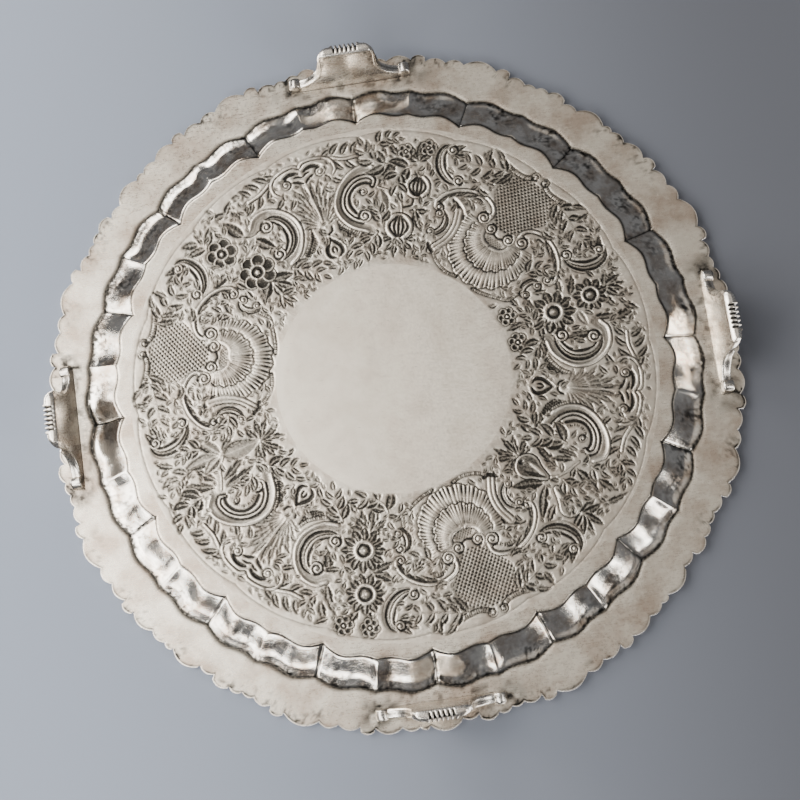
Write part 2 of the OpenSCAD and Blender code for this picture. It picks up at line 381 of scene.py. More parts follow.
# Rubbed flange and margin: streaky grey and brown, with broad stains from years of handling
flange_silver = silver("rubbed_sheet_silver", 0.23, 0.38, 26, 2.0, 0.06, 1.0)
# Planished wall: facets like blurred mirrors, white beside nearly black
wall_silver = silver("planished_sheet_silver", 0.09, 0.23, 14, 2.4, 0.1, 1.0, BRIGHT_SILVER)
# Castings: bright on every high edge, dark in the hollows
cast_silver = silver("cast_silver", 0.18, 0.34, 9, 1.2, 0.05, 0.6, BRIGHT_SILVER)
print("five silver finishes")

# %% [markdown]
# ## Outline of the plate
#
# The wall has sixteen lobes: each swells softly and is parted from the next by a sharp crease. The
# flange ends in a row of round scallops that repeats with each border casting. Both could be drawn
# as curves and traced, but plain functions of the angle are the same ones that shape the solids.

# %% Wall curves
CREASE_IN = 4.0
CREASE_OUT = 2.5
LOBE_WAVE = 1.1


def from_crease(a):
    """Signed angle from the nearest crease, in half lobes: 0 at a crease and 1 at a ridge."""
    pitch = 360 / LOBES
    return (a - pitch * np.round(a / pitch)) / pitch * 2


def lobe(a, notch):
    """Soft wave along a lobe, with a notch that sharpens towards the crease."""
    u = np.abs(from_crease(a))
    return LOBE_WAVE * np.cos(np.radians(500 * (u - 0.4))) - notch * (1 - u) ** 8


def wall_in(a):
    """Radius at which the plate turns into the wall."""
    return WALL_R + lobe(a, CREASE_IN)


def wall_out(a):
    """Radius at which the wall turns into the flange."""
    return WALL_R + WALL_W + lobe(a, CREASE_OUT)


all_round = np.arange(0, 360, 0.05)
print(f"wall starts at {wall_in(all_round).min():.1f} to {wall_in(all_round).max():.1f} mm")

# %% Scalloped edge
JOINT_A = 6.75
SECTION_A = 360 / CASTINGS
SCALLOP_DEPTH = 0.21
EDGE_WEAR = 0.1
# Share of a casting and reach past the mean edge, for each scallop in turn
SCALLOPS = [(6, 1.2), (3, 2.2), (5, 0.4), (4, 1.0), (8, 3.7), (3, 2.4), (4, -1.0),
            (3, -2.4), (3, -1.2), (4, 0.5), (4, -3.2), (7, 1.2), (2, -1.0), (4, -0.6)]
shares = np.array([s[0] for s in SCALLOPS], float)
reaches = np.array([s[1] for s in SCALLOPS])
scallop_spans = SECTION_A * shares / shares.sum()
scallop_starts = np.concatenate([[0], np.cumsum(scallop_spans)[:-1]])
scallop_widths = 2 * RIM_R * np.sin(np.radians(scallop_spans / 2))


def scallop_at(a):
    """Number of the scallop at an angle and the place across it, from -1 to 1."""
    b = np.mod(a - JOINT_A, SECTION_A)
    k = np.clip(np.searchsorted(scallop_starts, b, side="right") - 1, 0, len(SCALLOPS) - 1)
    return k, (b - scallop_starts[k]) / scallop_spans[k] * 2 - 1


def rim_edge(a):
    """Edge radius: each scallop is a shallow arch across its own width, worn back a little."""
    k, t = scallop_at(a)
    return RIM_R - EDGE_WEAR + reaches[k] - SCALLOP_DEPTH * scallop_widths[k] * t * t


print(f"edge from {rim_edge(all_round).min():.1f} to {rim_edge(all_round).max():.1f} mm")

# %% [markdown]
# ## Wear
#
# Hammer marks, pits and stains have no plan, so they come from noise: random values on a lattice,
# blended smoothly, with a seed of its own for each use. Blender's noise textures would do for
# colour, but these have to shape the mesh and its tarnish too.

# %% Cloudy noise
LATTICE = 128


def clouds(x, y, size, seed):
    """Smooth random field from 0 to 1: values on a square lattice of the given size, blended."""
    values = np.random.default_rng(seed).random((LATTICE, LATTICE))
    u, v = np.asarray(x) / size, np.asarray(y) / size
    i, j = np.floor(u).astype(int), np.floor(v).astype(int)
    s, t = u - i, v - j
    s, t = s * s * (3 - 2 * s), t * t * (3 - 2 * t)
    corner = lambda di, dj: values[(i + di) % LATTICE, (j + dj) % LATTICE]
    return ((corner(0, 0) * (1 - s) + corner(1, 0) * s) * (1 - t)
            + (corner(0, 1) * (1 - s) + corner(1, 1) * s) * t)


def spots(x, y, size, seed, floor, gain):
    """Patches where the clouds rise over a floor, from 0 to 1 by the gain."""
    return np.clip((clouds(x, y, size, seed) - floor) * gain, 0, 1)


def bell(d, width):
    """Smooth hump, 1 at d = 0, that falls away over the given width."""
    return np.exp(-(d / width) ** 2)


print("mean of the clouds:", round(float(clouds(all_round, 0 * all_round, 5, 1).mean()), 2))

# %% Solder stains
SOLDER_R = FOOT_R + 6
SOLDER_ACROSS = FOOT_L / 2 + 1.5
SOLDER_PATCH = 11.5
SEAM_R = FOOT_R - 2
SEAM_W = 5


def solder_stain(x, y):
    """Where the feet were soldered: round patches at their scroll ends, and a strip along each web."""
    ends, seam = np.zeros_like(x), np.zeros_like(x)
    for k in range(FEET):
        a = math.radians(360 / FEET * k)
        out, across = x * math.cos(a) + y * math.sin(a), np.abs(y * math.cos(a) - x * math.sin(a))
        patch = bell(np.hypot(out - SOLDER_R, across - SOLDER_ACROSS), SOLDER_PATCH)
        strip = bell(out - SEAM_R, SEAM_W) * np.clip((SOLDER_ACROSS + 8 - across) / 9, 0, 1)
        ends, seam = np.maximum(ends, patch), np.maximum(seam, strip)
    return ends, seam


print(f"solder patches at {SOLDER_R:.0f} mm from the axis")

# %% [markdown]
# ## Wall and flange
#
# Planished silver: the wall is one sheet with the plate, hammered into lobes over a stake, with a
# chased line along both bends. A grid of angle by distance outwards gives the underside; the top
# follows it at the thickness of the sheet. A Solidify modifier could give that thickness too, but a
# slab of two grids keeps its own tarnish on each face. Four quarters keep each mesh light.

# %% Stations across the wall
BAND_R = 198.0
EDGE_INSET = 0.9


def wall_stations():
    """Places across the margin (-1 to 0), wall (0 to 1) and flange (1 to 2), close at the bends."""
    near = np.array([0.0, 0.02, 0.045, 0.08, 0.13])
    margin = np.concatenate([np.linspace(-1, -0.3, 5), -np.array([0.2, 0.12, 0.06, 0.03])])
    wall = np.concatenate([near, np.linspace(0.2, 0.8, 11), 1 - near[:0:-1]])
    flange = 1 + np.concatenate([near, np.linspace(0.2, 0.94, 12), [0.97, 1.0]])
    return np.concatenate([margin, wall, flange])


def station_radius(a, s):
    """Radius at angle a and station s, evenly between the band, the two bends and the edge."""
    low, high, edge = wall_in(a), wall_out(a), rim_edge(a) - EDGE_INSET
    return np.where(s < 0, low + s * (low - BAND_R),
                    np.where(s < 1, low + s * (high - low), high + (s - 1) * (edge - high)))


stations = wall_stations()
print(len(stations), "stations from the band to the edge")

# %% Flange stains
def flange_stains(x, y, s):
    """Tarnish of the flange: pits towards the edge, patches of solder, and a dark line at the border."""
    ends, seam = solder_stain(x, y)
    pits = spots(x, y, 2.2, 3, 0.6, 4) * np.clip((s - 1.45) * 2.2, 0, 1) * spots(x, y, 23, 4, 0.42, 4)
    joint = spots(x, y, 5, 5, 0.2, 2.2) * ends + 0.7 * spots(x, y, 3.4, 15, 0.48, 3) * seam
    rim = np.clip((s - 1.93) * 20, 0, 1) * spots(x, y, 9, 14, 0.15, 2)
    return 0.75 * pits + 0.9 * joint + 0.7 * rim


print("stains at the middle of a web:", flange_stains(np.array([SEAM_R]), np.zeros(1), 1.2).round(2))

# %% Underside of the wall
LINE_DEPTH = 0.55
CREASE_DEPTH = 0.7
FACET_HOLLOW = 1.05
RIDGE_RISE = 0.6


def wall_surface(a, s):
    """Underside of margin, wall and flange: radius, height, and tarnish with a painted shadow at the outer
    bend, at angle a and station s.

    The height climbs an S-curve from plate to flange. Chased lines, creases and hollow facets are
    sunk into it, a soft ridge stands in the middle of each lobe, and dents are scattered over it.
    """
    r = station_radius(a, s)
    x, y = r * np.cos(np.radians(a)), r * np.sin(np.radians(a))
    climb, u = np.clip(s, 0, 1), np.abs(from_crease(a))
    rise = 0.55 * (climb - 0.1 * np.sin(2 * np.pi * climb)) + 0.45 * (1 - (1 - climb) ** 2)
    on_wall = (s > -0.02) & (s < 1.02)
    belly = np.sin(np.pi * climb)
    # Chased lines at both bends; the outer one is set outwards and widened into a painted shadow beside the
    # wall
    bend_lines_and_shadow = bell(r - wall_in(a), 0.9) + bell(r - wall_out(a) - 0.5, 1.9)
    fold = from_crease(a) * 180 / LOBES * np.radians(1) * r
    crease = np.where(on_wall, bell(fold, 0.8), 0)
    bowl, ridge = np.sin(np.pi * u) * belly, bell(1 - u, 0.07) * belly
    dents = (0.3 * (clouds(x, y, 5.5, 9) - 0.5) + 0.7 * (clouds(x, y, 13, 10) - 0.5)) * belly
    dents = dents + 0.25 * (clouds(x, y, 19, 11) - 0.5) * np.clip((s - 1) * 5, 0, 1)
    z = PLATE_Z + WALL_H * rise + LINE_DEPTH * bend_lines_and_shadow + CREASE_DEPTH * crease
    z = z + FACET_HOLLOW * bowl - RIDGE_RISE * ridge + np.where(s < 2, dents, 0)
    worn = np.clip(0.8 * bowl + 0.9 * climb ** 3 + 0.7 * bell(fold, 4), 0, 1) * on_wall
    specks = spots(x, y, 1.7, 6, 0.45, 3) * worn * spots(x, y, 12, 7, 0.2, 2)
    # Tarnish in lines, creases and specks, painted shadow along the outer bend, and the flange's stains
    tarnish_and_shade = 0.9 * bend_lines_and_shadow + 0.85 * crease + 0.9 * specks + flange_stains(x, y, s)
    return r, z, np.clip(tarnish_and_shade, 0, 1)


height = wall_surface(np.array([11.25]), np.array([0.5]))[1][0]
print(f"a facet is {height - PLATE_Z:.1f} mm above the plate in the middle of the wall")

# %% Closed slabs
def surface_normals(points, flip):
    """Unit normals of a grid of points, from the slopes along its rows and columns."""
    normal = np.cross(np.gradient(points, axis=1), np.gradient(points, axis=0))
    normal /= np.linalg.norm(normal, axis=-1, keepdims=True) + 1e-12
    return -normal if flip else normal


def closed_pair(under, over, dark_under, dark_over):
    """Closed shell between two grids of points that share their numbering, with four side walls."""
    rows, cols = dark_under.shape
    count = rows * cols
    rim = np.concatenate([np.arange(cols), np.arange(2 * cols - 1, count, cols),
                          np.arange(count - 2, count - cols - 1, -1),
                          np.arange(count - 2 * cols, 0, -cols)])
    after = np.roll(rim, -1)
    quads = np.concatenate([grid_quads(rows, cols, 0), grid_quads(rows, cols, count, flip=True),
                            np.stack([rim + count, after + count, after, rim], -1)])
    points = np.concatenate([under.reshape(-1, 3), over.reshape(-1, 3)])
    normals = np.concatenate([surface_normals(under, False).reshape(-1, 3),
                              surface_normals(over, True).reshape(-1, 3)])
    return points, quads, np.concatenate([dark_under.ravel(), dark_over.ravel()]), normals


def slab(a, r, z_low, z_high, dark_low, dark_high):
    """Closed slab over a grid of angles and radii, with the heights of its lower and upper face."""
    x, y = r * np.cos(np.radians(a)), r * np.sin(np.radians(a))
    return closed_pair(np.stack([x, y, z_low], -1), np.stack([x, y, z_high], -1), dark_low, dark_high)


print("a slab has an under face, an upper face and four sides")

# %% Margin, wall and flange
WALL_STEP = 0.25
QUARTERS = 4
QUARTER_A = 360 / QUARTERS
TOP_SHARE = 0.5
for part, first, finish in (("margin", -1, flange_silver), ("wall", 0, wall_silver),
                            ("flange", 1, flange_silver)):
    rows = stations[(stations >= first) & (stations <= first + 1)]
    for quarter in range(QUARTERS):
        turn = np.arange(0, QUARTER_A + WALL_STEP / 2, WALL_STEP) + QUARTER_A * quarter
        a, s = np.meshgrid(turn, rows)
        r, z, dark = wall_surface(a, s)
        name = f"{part}_quarter_{quarter + 1}"
        mesh = make_mesh(name, *slab(a, r, z, z + SHEET_T, dark, dark * TOP_SHARE))
        place(name, mesh, "plate", finish)

# %% [markdown]
# ## The chased band
#
# Flat chasing pushes the sheet down along lines and inside leaves with small punches, and tarnish
# gathers where the tool went; on one side of leaves, strips and pears shade is painted in as well.
# Each leaf could be a mesh of its own, but hundreds of them would not join into one sheet. So the
# whole band is one relief map in the plane as seen from below, a height and a darkness at every
# 0.45 mm, and motifs paint on it one over another.

# %% Relief map
DISC_R = 88.0
MAP_STEP = 0.45
MAP_HALF = 200.0
# Width over which a painted edge blends into what lies under it
SOFT = 0.35
map_cells = int(2 * MAP_HALF / MAP_STEP) + 1
relief = np.zeros((map_cells, map_cells), np.float32)
# Darkness over the band: tarnish where the tool went, and painted shade on one side of leaves, strips and
# pears
tarnish_and_shade_map = np.zeros((map_cells, map_cells), np.float32)


def window(points, margin):
    """Part of the map round some points: its index box and the places of its cells."""
    low = np.floor((points.min(0) - margin + MAP_HALF) / MAP_STEP).astype(int).clip(0, map_cells - 1)
    high = np.ceil((points.max(0) + margin + MAP_HALF) / MAP_STEP).astype(int).clip(1, map_cells) + 1
    box = (slice(low[1], high[1]), slice(low[0], high[0]))
    rows, cols = relief[box].shape
    x = (np.arange(cols) + low[0]) * MAP_STEP - MAP_HALF
    y = (np.arange(rows) + low[1]) * MAP_STEP - MAP_HALF
    return box, np.stack(np.meshgrid(x, y), -1)


def soft(gap):
    """Cover by the distance inside an edge: 0 outside, 1 inside, blended over the soft width."""
    return np.clip(gap / SOFT + 0.5, 0, 1)


def paint(box, cover, height, dark):
    """Lays a height and a darkness over part of the map, as far as they cover it."""
    relief[box] += (height - relief[box]) * cover
    tarnish_and_shade_map[box] += (dark - tarnish_and_shade_map[box]) * cover


def dark_share():
    """Share of the chased band that is dark so far."""
    band = math.pi * (BAND_R ** 2 - DISC_R ** 2)
    return round(float((tarnish_and_shade_map > 0.3).sum() * MAP_STEP ** 2 / band), 3)


print(f"map of {map_cells} by {map_cells} cells")

# %% [markdown]
# ### Brushes
#
# A chaser's line is a row of blows along a drawn curve. A brush finds, for each cell of the map near
# a curve, the distance to it and the place along it, and a profile across the curve gives height and
# darkness there. Bevelled Blender curves would give lines too, but not one sheet with its tarnish.

# %% Curves on the map
def unit(angle, mirror=1):
    """Layout frame on the ray at an angle: x across it, clockwise, and y outwards from the centre."""
    t = math.radians(angle)
    return np.array([[mirror * math.sin(t), -mirror * math.cos(t)], [math.cos(t), math.sin(t)]])


def smooth_path(points, step=0.6):
    """Curve through points: each stretch is the cubic that leaves along its neighbours' chord."""
    p = np.array(points, float)
    if len(p) == 2:
        p = np.array([p[0], (p[0] + p[1]) / 2, p[1]])
    ends = np.concatenate([[2 * p[0] - p[1]], p, [2 * p[-1] - p[-2]]])
    pieces = []
    for a, b, c, d in zip(ends, ends[1:], ends[2:], ends[3:]):
        t = np.linspace(0, 1, max(3, int(np.hypot(*(c - b)) / step) + 1))[:-1, None]
        pieces.append(0.5 * (2 * b + (c - a) * t + (2 * a - 5 * b + 4 * c - d) * t ** 2
                             + (3 * b - a - 3 * c + d) * t ** 3))
    return np.concatenate(pieces + [p[-1:]])


def along(path, margin, hand=1):
    """For cells near a path: index box, signed distance, place from 0 to 1, and the path's length.

    The distance is positive on the left, or on the right where hand is -1.
    """
    box, cells = window(path, margin)
    flat = cells.reshape(-1, 2)
    gaps = ((flat ** 2).sum(1)[:, None] + (path ** 2).sum(1)[None] - 2 * flat @ path.T)
    k = gaps.argmin(1)
    ahead = np.gradient(path, axis=0)
    ahead /= np.hypot(ahead[:, 0], ahead[:, 1])[:, None] + 1e-9
    off = flat - path[k]
    sideways = ahead[k, 0] * off[:, 1] - ahead[k, 1] * off[:, 0]
    apart = hand * np.where(sideways < 0, -1, 1) * np.hypot(off[:, 0], off[:, 1])
    length = np.concatenate([[0], np.cumsum(np.hypot(*np.diff(path, axis=0).T))])
    shape = cells.shape[:2]
    return box, apart.reshape(shape), (length / length[-1])[k].reshape(shape), length[-1]


def curve(u, points, margin):
    """Cells near the smooth curve through points of a layout frame, whose left side stays left."""
    return along(smooth_path(np.array(points, float) @ u), margin, np.sign(np.linalg.det(u)))


print(len(smooth_path([(0, 0), (10, 5), (20, 0)])), "places on a curve through three points")

# %% Lines
def swell(way, kind):
    """Width factor along a line: even, tapered to its end, or a lens that is full in the middle."""
    if kind == "even":
        return np.ones_like(way)
    if kind == "taper":
        return 1 - 0.85 * way
    return np.sqrt(np.clip(np.sin(np.pi * np.clip(way, 0.001, 0.999)), 0.01, 1))


def stroke(u, points, width, height, dark, kind="even"):
    """One line of a given width along a curve."""
    box, s, way, _ = curve(u, points, width + 1)
    paint(box, soft(width / 2 * swell(way, kind) - np.abs(s)), height, dark)


def strips(u, points, rows, kind="even"):
    """Profile carried along a curve: strips from one offset to another, each with height, darkness; painted
    shade makes each strip darkest at its edge farther from the curve.
    """
    reach = max(abs(v) for row in rows for v in row[:2])
    box, s, way, _ = curve(u, points, reach + 1)
    full = swell(way, kind)
    for low, high, height, dark in rows:
        middle, half = (low + high) / 2 * full, (high - low) / 2 * full
        # Painted shade: each strip's darkness falls from its far edge to its near edge
        painted_shade_slope = np.clip((s - middle) / (half + 0.01), -1, 1) * (1 if middle.flat[0] > 0 else -1)
        paint(box, soft(half - np.abs(s - middle)), height, dark * (0.78 + 0.22 * painted_shade_slope))


def ticks(u, points, width, pitch):
    """Row of short cuts across a curve, as on a milled ribbon or a string of beads."""
    box, s, way, length = curve(u, points, width + 1)
    wave = np.cos(2 * np.pi * (way * length) / pitch)
    inside = soft(width / 2 - np.abs(s))
    paint(box, inside, 0.15, 0.12)
    paint(box, inside * np.clip(wave * 2.2, 0, 1), -0.35, 0.75)


def beaded(u, points, width, pitch):
    """Dark line with a string of beads along its middle."""
    stroke(u, points, width, -0.4, 0.75)
    ticks(u, points, 2.0, pitch)


def stem(u, points, wide, narrow, dark):
    """Raised stem with a dark line along both of its sides."""
    stroke(u, points, wide, -0.4, dark)
    stroke(u, points, narrow, 0.35, 0.0)


print("a tapered line ends at", round(float(swell(np.ones(1), "taper")[0]), 2), "of its width")

# %% Round forms
def disc(u, x, y, radius, height, dark):
    """Round boss or sunk eye."""
    box, cells = window(np.array([[x, y]]) @ u, radius + 1)
    gap = np.hypot(*np.moveaxis(cells - np.array([x, y]) @ u, -1, 0))
    paint(box, soft(radius - gap), height, dark)


def volute(u, x, y, radius, start, turns, hand):
    """Scroll end: a raised line on a dark round ground, about a small raised eye.

    The line is a spiral whose radius shrinks evenly as it turns.
    """
    t = np.linspace(0, 1, 70)
    angle = np.radians(start) + hand * 2 * np.pi * turns * t
    rho = radius * (1 - 0.84 * t)
    points = np.stack([x + rho * np.cos(angle), y + rho * np.sin(angle)], -1)
    disc(u, x, y, radius + 0.5, -0.45, 0.9)
    stroke(u, points, 0.26 * radius, 0.35, 0.0)
    disc(u, x, y, 0.22 * radius, 0.45, 0.0)


# Strips of a C-scroll across its width: from, to, height and darkness
C_STRIPS = [(-0.8, 0.74, 0.25, 0.05), (-0.76, -0.62, -0.3, 0.55), (-0.5, -0.16, -0.5, 0.95),
            (-0.1, 0.1, -0.4, 0.8), (0.3, 0.6, -0.45, 0.85)]


def c_scroll(u, points, width, first, last, inside):
    """C-scroll: two dark hollows along its back with a bright rib between, and a volute at both ends.

    inside is 1 where the hollow of the C lies left of the path and -1 where it lies right of it.
    """
    strips(u, points, [sorted((inside * low * width, inside * high * width)) + [height, dark]
                       for low, high, height, dark in C_STRIPS], "lens")
    volute(u, *first, 90, 1.5, inside)
    volute(u, *last, 270, 1.5, -inside)


print("a C-scroll has", len(C_STRIPS), "strips across its back")

# %% Leaves
LEAF_STEPS = 25


def leaf(u, x, y, angle, length, width, bend=0, fill=0.85, teeth=0):
    """Leaf on a curved rib: a sunk blade, darkest at its edge and with painted shade on one half, with a
    bright rib.

    The rib turns evenly by the bend, and the half width is a sine along it, fullest below the middle.
    """
    turn = np.radians(angle + bend * (np.linspace(0, 1, LEAF_STEPS + 1) - 0.5))
    step = length / LEAF_STEPS
    points = np.stack([x + np.cumsum(np.cos(turn)) * step, y + np.cumsum(np.sin(turn)) * step], -1)
    box, s, way, _ = along(points @ u, width, np.sign(np.linalg.det(u)))
    half = width / 2 * np.sin(np.pi * np.clip(way, 0.002, 0.998) ** 0.75) ** 0.85
    if teeth:
        half = half * (0.6 + 0.45 * np.mod(teeth * way - 0.9 * np.abs(s) / width, 1))
    across = np.clip(np.abs(s) / (half + 0.05), 0, 1)
    inside = soft(half - np.abs(s))
    veins = np.clip(2 * np.cos(2 * np.pi * (way * length / 3.2 - 0.7 * across)) - 1, 0, 1)
    # Painted shade: the half left of the rib is darker than the right; the blade also darkens towards its
    # edge
    shade = fill * np.where(s > 0, 1.1, 0.8) * (0.62 + 0.45 * across) * (1 - 0.35 * veins)
    paint(box, soft(half + 0.6 - np.abs(s)), 0.15, 0.0)
    paint(box, inside, -0.1 - 0.45 * across, np.clip(shade, 0, 1))
    paint(box, soft(0.3 * (1.15 - way) - np.abs(s)) * inside, 0.15, 0.0)


def leaves(u, rows, teeth=0, fill=0.85):
    """Several leaves: root x and y, direction, length, width and bend of each."""
    for row in rows:
        leaf(u, *row, fill=fill, teeth=teeth)


def burst(u, x, y, directions, length, width, teeth=0):
    """Leaves that spring from one point, longest in the middle of the row."""
    for k, head in enumerate(directions):
        middle = 1 - abs(2 * k / max(1, len(directions) - 1) - 1)
        bend = 18 if k % 2 else -18
        leaf(u, x, y, head, length * (0.8 + 0.25 * middle), width, bend, 0.88, teeth)


def spray(u, points, count, size, spread, fill=0.85):
    """Leafy branch: a raised stem with pairs of curved leaves that shrink towards its tip."""
    path = smooth_path(points)
    for k in range(count):
        way = (k + 0.3) / count
        i = min(int(way * (len(path) - 1)), len(path) - 2)
        head = math.degrees(math.atan2(*(path[i + 1] - path[i])[::-1]))
        long = size * (1.1 - 0.5 * way)
        for side in (-1, 1):
            leaf(u, *path[i], head + side * spread, long, 0.42 * long, -side * 65, fill)
    leaf(u, *path[-2], head, 0.6 * size, 0.28 * size, 30, fill)
    stroke(u, points, 2.2, -0.35, 0.7, "taper")
    stroke(u, points, 1.2, 0.3, 0.0, "taper")


print("a leaf's rib has", LEAF_STEPS, "steps")

# %% Flowers
def rosette(u, x, y, radius, petals, turn):
    """Flower of round dished petals about a sunk eye with a bright bead."""
    size = radius * (0.16 + 1.5 / petals)
    for k in range(petals):
        a = math.radians(turn + 360 * k / petals)
        px, py = x + (radius - size) * math.cos(a), y + (radius - size) * math.sin(a)
        disc(u, px, py, size + 0.6, -0.4, 0.85)
        disc(u, px, py, size - 0.1, 0.25, 0.0)
        box, cells = window(np.array([[px, py]]) @ u, size + 1)
        off = (cells - np.array([px, py]) @ u) @ u.T
        inward = -(off[..., 0] * math.cos(a) + off[..., 1] * math.sin(a)) / size
        dish = np.clip((size - 0.9 - np.hypot(off[..., 0], off[..., 1])) / 0.8 + 0.5, 0, 1)
        paint(box, dish, -0.3 * dish, np.clip(0.62 - 0.4 * inward, 0.15, 0.9))
    disc(u, x, y, 0.4 * radius, 0.25, 0.0)
    disc(u, x, y, 0.32 * radius, -0.5, 0.92)
    disc(u, x, y, 0.13 * radius, 0.4, 0.0)


def sunflower(u, x, y, radius, petals, turn, head):
    """Flower of pointed dark petals about a raised ring and a sunk seed head."""
    wide = 2.0 * radius * math.sin(math.pi / petals)
    for k in range(petals):
        a = turn + 360 * k / petals
        c, s = math.cos(math.radians(a)), math.sin(math.radians(a))
        leaf(u, x + 0.42 * radius * c, y + 0.42 * radius * s, a, 0.62 * radius, wide * 0.78, 10, 0.9)
    disc(u, x, y, (head + 0.13) * radius, 0.3, 0.0)
    disc(u, x, y, head * radius, -0.4, 0.88)
    disc(u, x, y, 0.6 * head * radius, 0.1, 0.45)
    disc(u, x - 0.1 * head * radius, y, 0.22 * head * radius, 0.4, 0.0)


print("brushes are ready, and the map is still bare:", dark_share())

# %% [markdown]
# ### Groups of flowers and fruit
#
# Six different groups stand round the band, each in its own frame: across and outwards from the
# plate's centre, in millimetres. They come first, because the cartouches between them lie over the
# tips of their leaves. Tracing the photograph could place each leaf, but a list of roots, directions
# and lengths says the same and stays sharp at any size.

# %% Daisies
def flank_scroll(angle, foot_x):
    """C-scroll beside a group, drawn for a cartouche on the left and mirrored for one on the right."""
    v, dx = unit(angle, -1 if foot_x > 0 else 1), -abs(foot_x)
    burst(v, dx + 8, 180, (205, 190, 172, 150), 17, 5)
    c_scroll(v, [(dx + 6.5, 186.6), (dx + 12.2, 183.4), (dx + 15, 176.5), (dx + 13.8, 167), (dx + 8, 159),
                 (dx + 0.5, 155)], 8, (dx + 6, 182.4, 4), (dx - 0.3, 158.2, 3.9), -1)


def group(draw, angle, foot_x):
    """Draws a group on its ray, with its flank scroll, and prints how dark the band is by then."""
    draw(unit(angle))
    flank_scroll(angle, foot_x)
    print(f"{draw.__name__} at {angle} degrees, dark share {dark_share()}")


def daisies(u):
    """Two pointed flowers in line, with two small round ones below."""
    stroke(u, [(5.5, 176), (6, 150), (5, 118), (5, 104)], 1.3, 0.25, 0.0)
    burst(u, 5, 173, (150, 128, 105, 82, 60, 35), 16, 6.5, 3)
    leaves(u, [(30, 168, 98, 19, 8.5, 20), (22, 153, 76, 19, 7.5, 20), (10, 170, 20, 13, 6, 20),
               (33, 150, -102, 20, 8.5, 20), (0, 146, 150, 17, 7, 25), (-3, 139, 165, 15, 6, 30),
               (4, 117, 190, 18, 7, 25), (5, 117, -14, 19, 7, -25), (19, 120, 15, 11, 5, 30),
               (5, 110, 268, 18, 6, 8), (-14, 122, 80, 11, 5, 30), (20, 180, 40, 14, 6.5, 25),
               (38, 182, 20, 12, 5, 40), (-8, 108, 200, 12, 5, 20)], 3)
    leaf(u, 13, 146.5, 10, 13, 5.5, 10, 0.4)
    sunflower(u, 5.8, 160.7, 13, 9, 10, 0.4)
    sunflower(u, 6.3, 130.2, 16.5, 10, 0, 0.32)
    rosette(u, -5.7, 97.2, 7.4, 6, 20)
    rosette(u, 15.8, 96, 7.6, 6, 0)


group(daisies, 24.8, -29.5)

# %% Pomegranates
MELON_RIBS = 5


def melon(u, x, y, radius, turn):
    """Ribbed fruit: dark meridians from the stalk to a small crown of leaves."""
    disc(u, x, y, radius + 0.9, -0.45, 0.9)
    disc(u, x, y, radius, 0.35, 0.0)
    c, s = math.cos(math.radians(turn)), math.sin(math.radians(turn))
    at, far = np.array([x, y]), np.array([c, s]) * radius * 0.86
    for k in range(MELON_RIBS):
        side = np.array([-s, c]) * (2 * (k + 0.5) / MELON_RIBS - 1) * radius * 0.82
        stroke(u, [at - far + side * 0.2, at + side, at + far + side * 0.2], 2.1, -0.35, 0.85, "lens")
    for bend in (-40, 0, 40):
        leaf(u, x + c * radius * 0.9, y + s * radius * 0.9, turn + bend, 0.6 * radius, 0.42 * radius)


def pomegranates(u):
    """Two ribbed fruits on a curling stem, with small flowers above."""
    burst(u, 3, 171, (150, 120, 92, 62, 35), 15, 6.5, 3)
    burst(u, -7, 110, (172, 200, 232, 262, 292, 322, 350, 10), 17, 6, 3)
    leaves(u, [(-26, 148, 60, 26, 10, -20), (-2, 131, 6, 17, 7, 20), (3, 133, -68, 19, 7.5, 20),
               (-24, 168, 100, 14, 6, 25), (14, 156, 20, 12, 5, 30), (-14, 174, 130, 14, 6, 25),
               (-20, 104, 200, 13, 5, -25), (-16, 96, 190, 14, 4, 30)], 3)
    leaf(u, -25, 147, -68, 22, 10.5, 15, 0.5)
    stem(u, [(-27, 148), (-15.5, 144.8), (-8.6, 138), (-6.3, 128.7)], 2.4, 1.3, 0.75)
    stroke(u, [(1.4, 142), (0.5, 136), (-5, 133.6)], 1.8, -0.4, 0.8)
    melon(u, 3.6, 151, 9.6, 88)
    melon(u, -7.5, 118, 10.6, -88)
    rosette(u, -8, 178.5, 6.6, 5, 0)
    rosette(u, 9, 183, 6.6, 5, 15)


group(pomegranates, 84.2, 34)

# %% Roses
def roses(u):
    """Two round-petalled flowers with plain pointed leaves."""
    stroke(u, [(-6, 190), (-5, 176), (0, 150), (2, 118), (1, 104)], 1.3, 0.25, 0.0)
    leaves(u, [(-8, 182, 140, 14, 6.5, 10), (-7, 175.5, 155, 16, 6.5, 10), (-5, 176, 35, 15, 6.5, 10),
               (17, 158, 95, 21, 9, 10), (-12, 150, 176, 16, 6.5, -15), (21, 151, -75, 19, 8.5, 10),
               (3, 120, 205, 19, 8, 15), (3, 120, -35, 18, 8, -15), (2, 117, 262, 16, 6, 10),
               (4, 116, -65, 16, 6, -10), (-15, 140, -80, 10, 5, 20), (-15, 130, -100, 10, 5, 20),
               (14, 186, -25, 12, 5.5, 10), (22, 181, 20, 12, 5.5, 10), (25, 168, 80, 12, 5, 20)])
    leaf(u, 5, 148, 12, 17, 5.5, 10, 0.45)
    burst(u, 0, 107, (205, 232, 258, 282, 308, 335), 14, 5)
    stroke(u, [(17, 158), (22, 153.5), (29, 152)], 1.4, -0.35, 0.75)
    rosette(u, -3.4, 163.3, 12.4, 6, 30)
    rosette(u, 2, 132.5, 14.6, 7, 90)


group(roses, 141.9, -39.3)

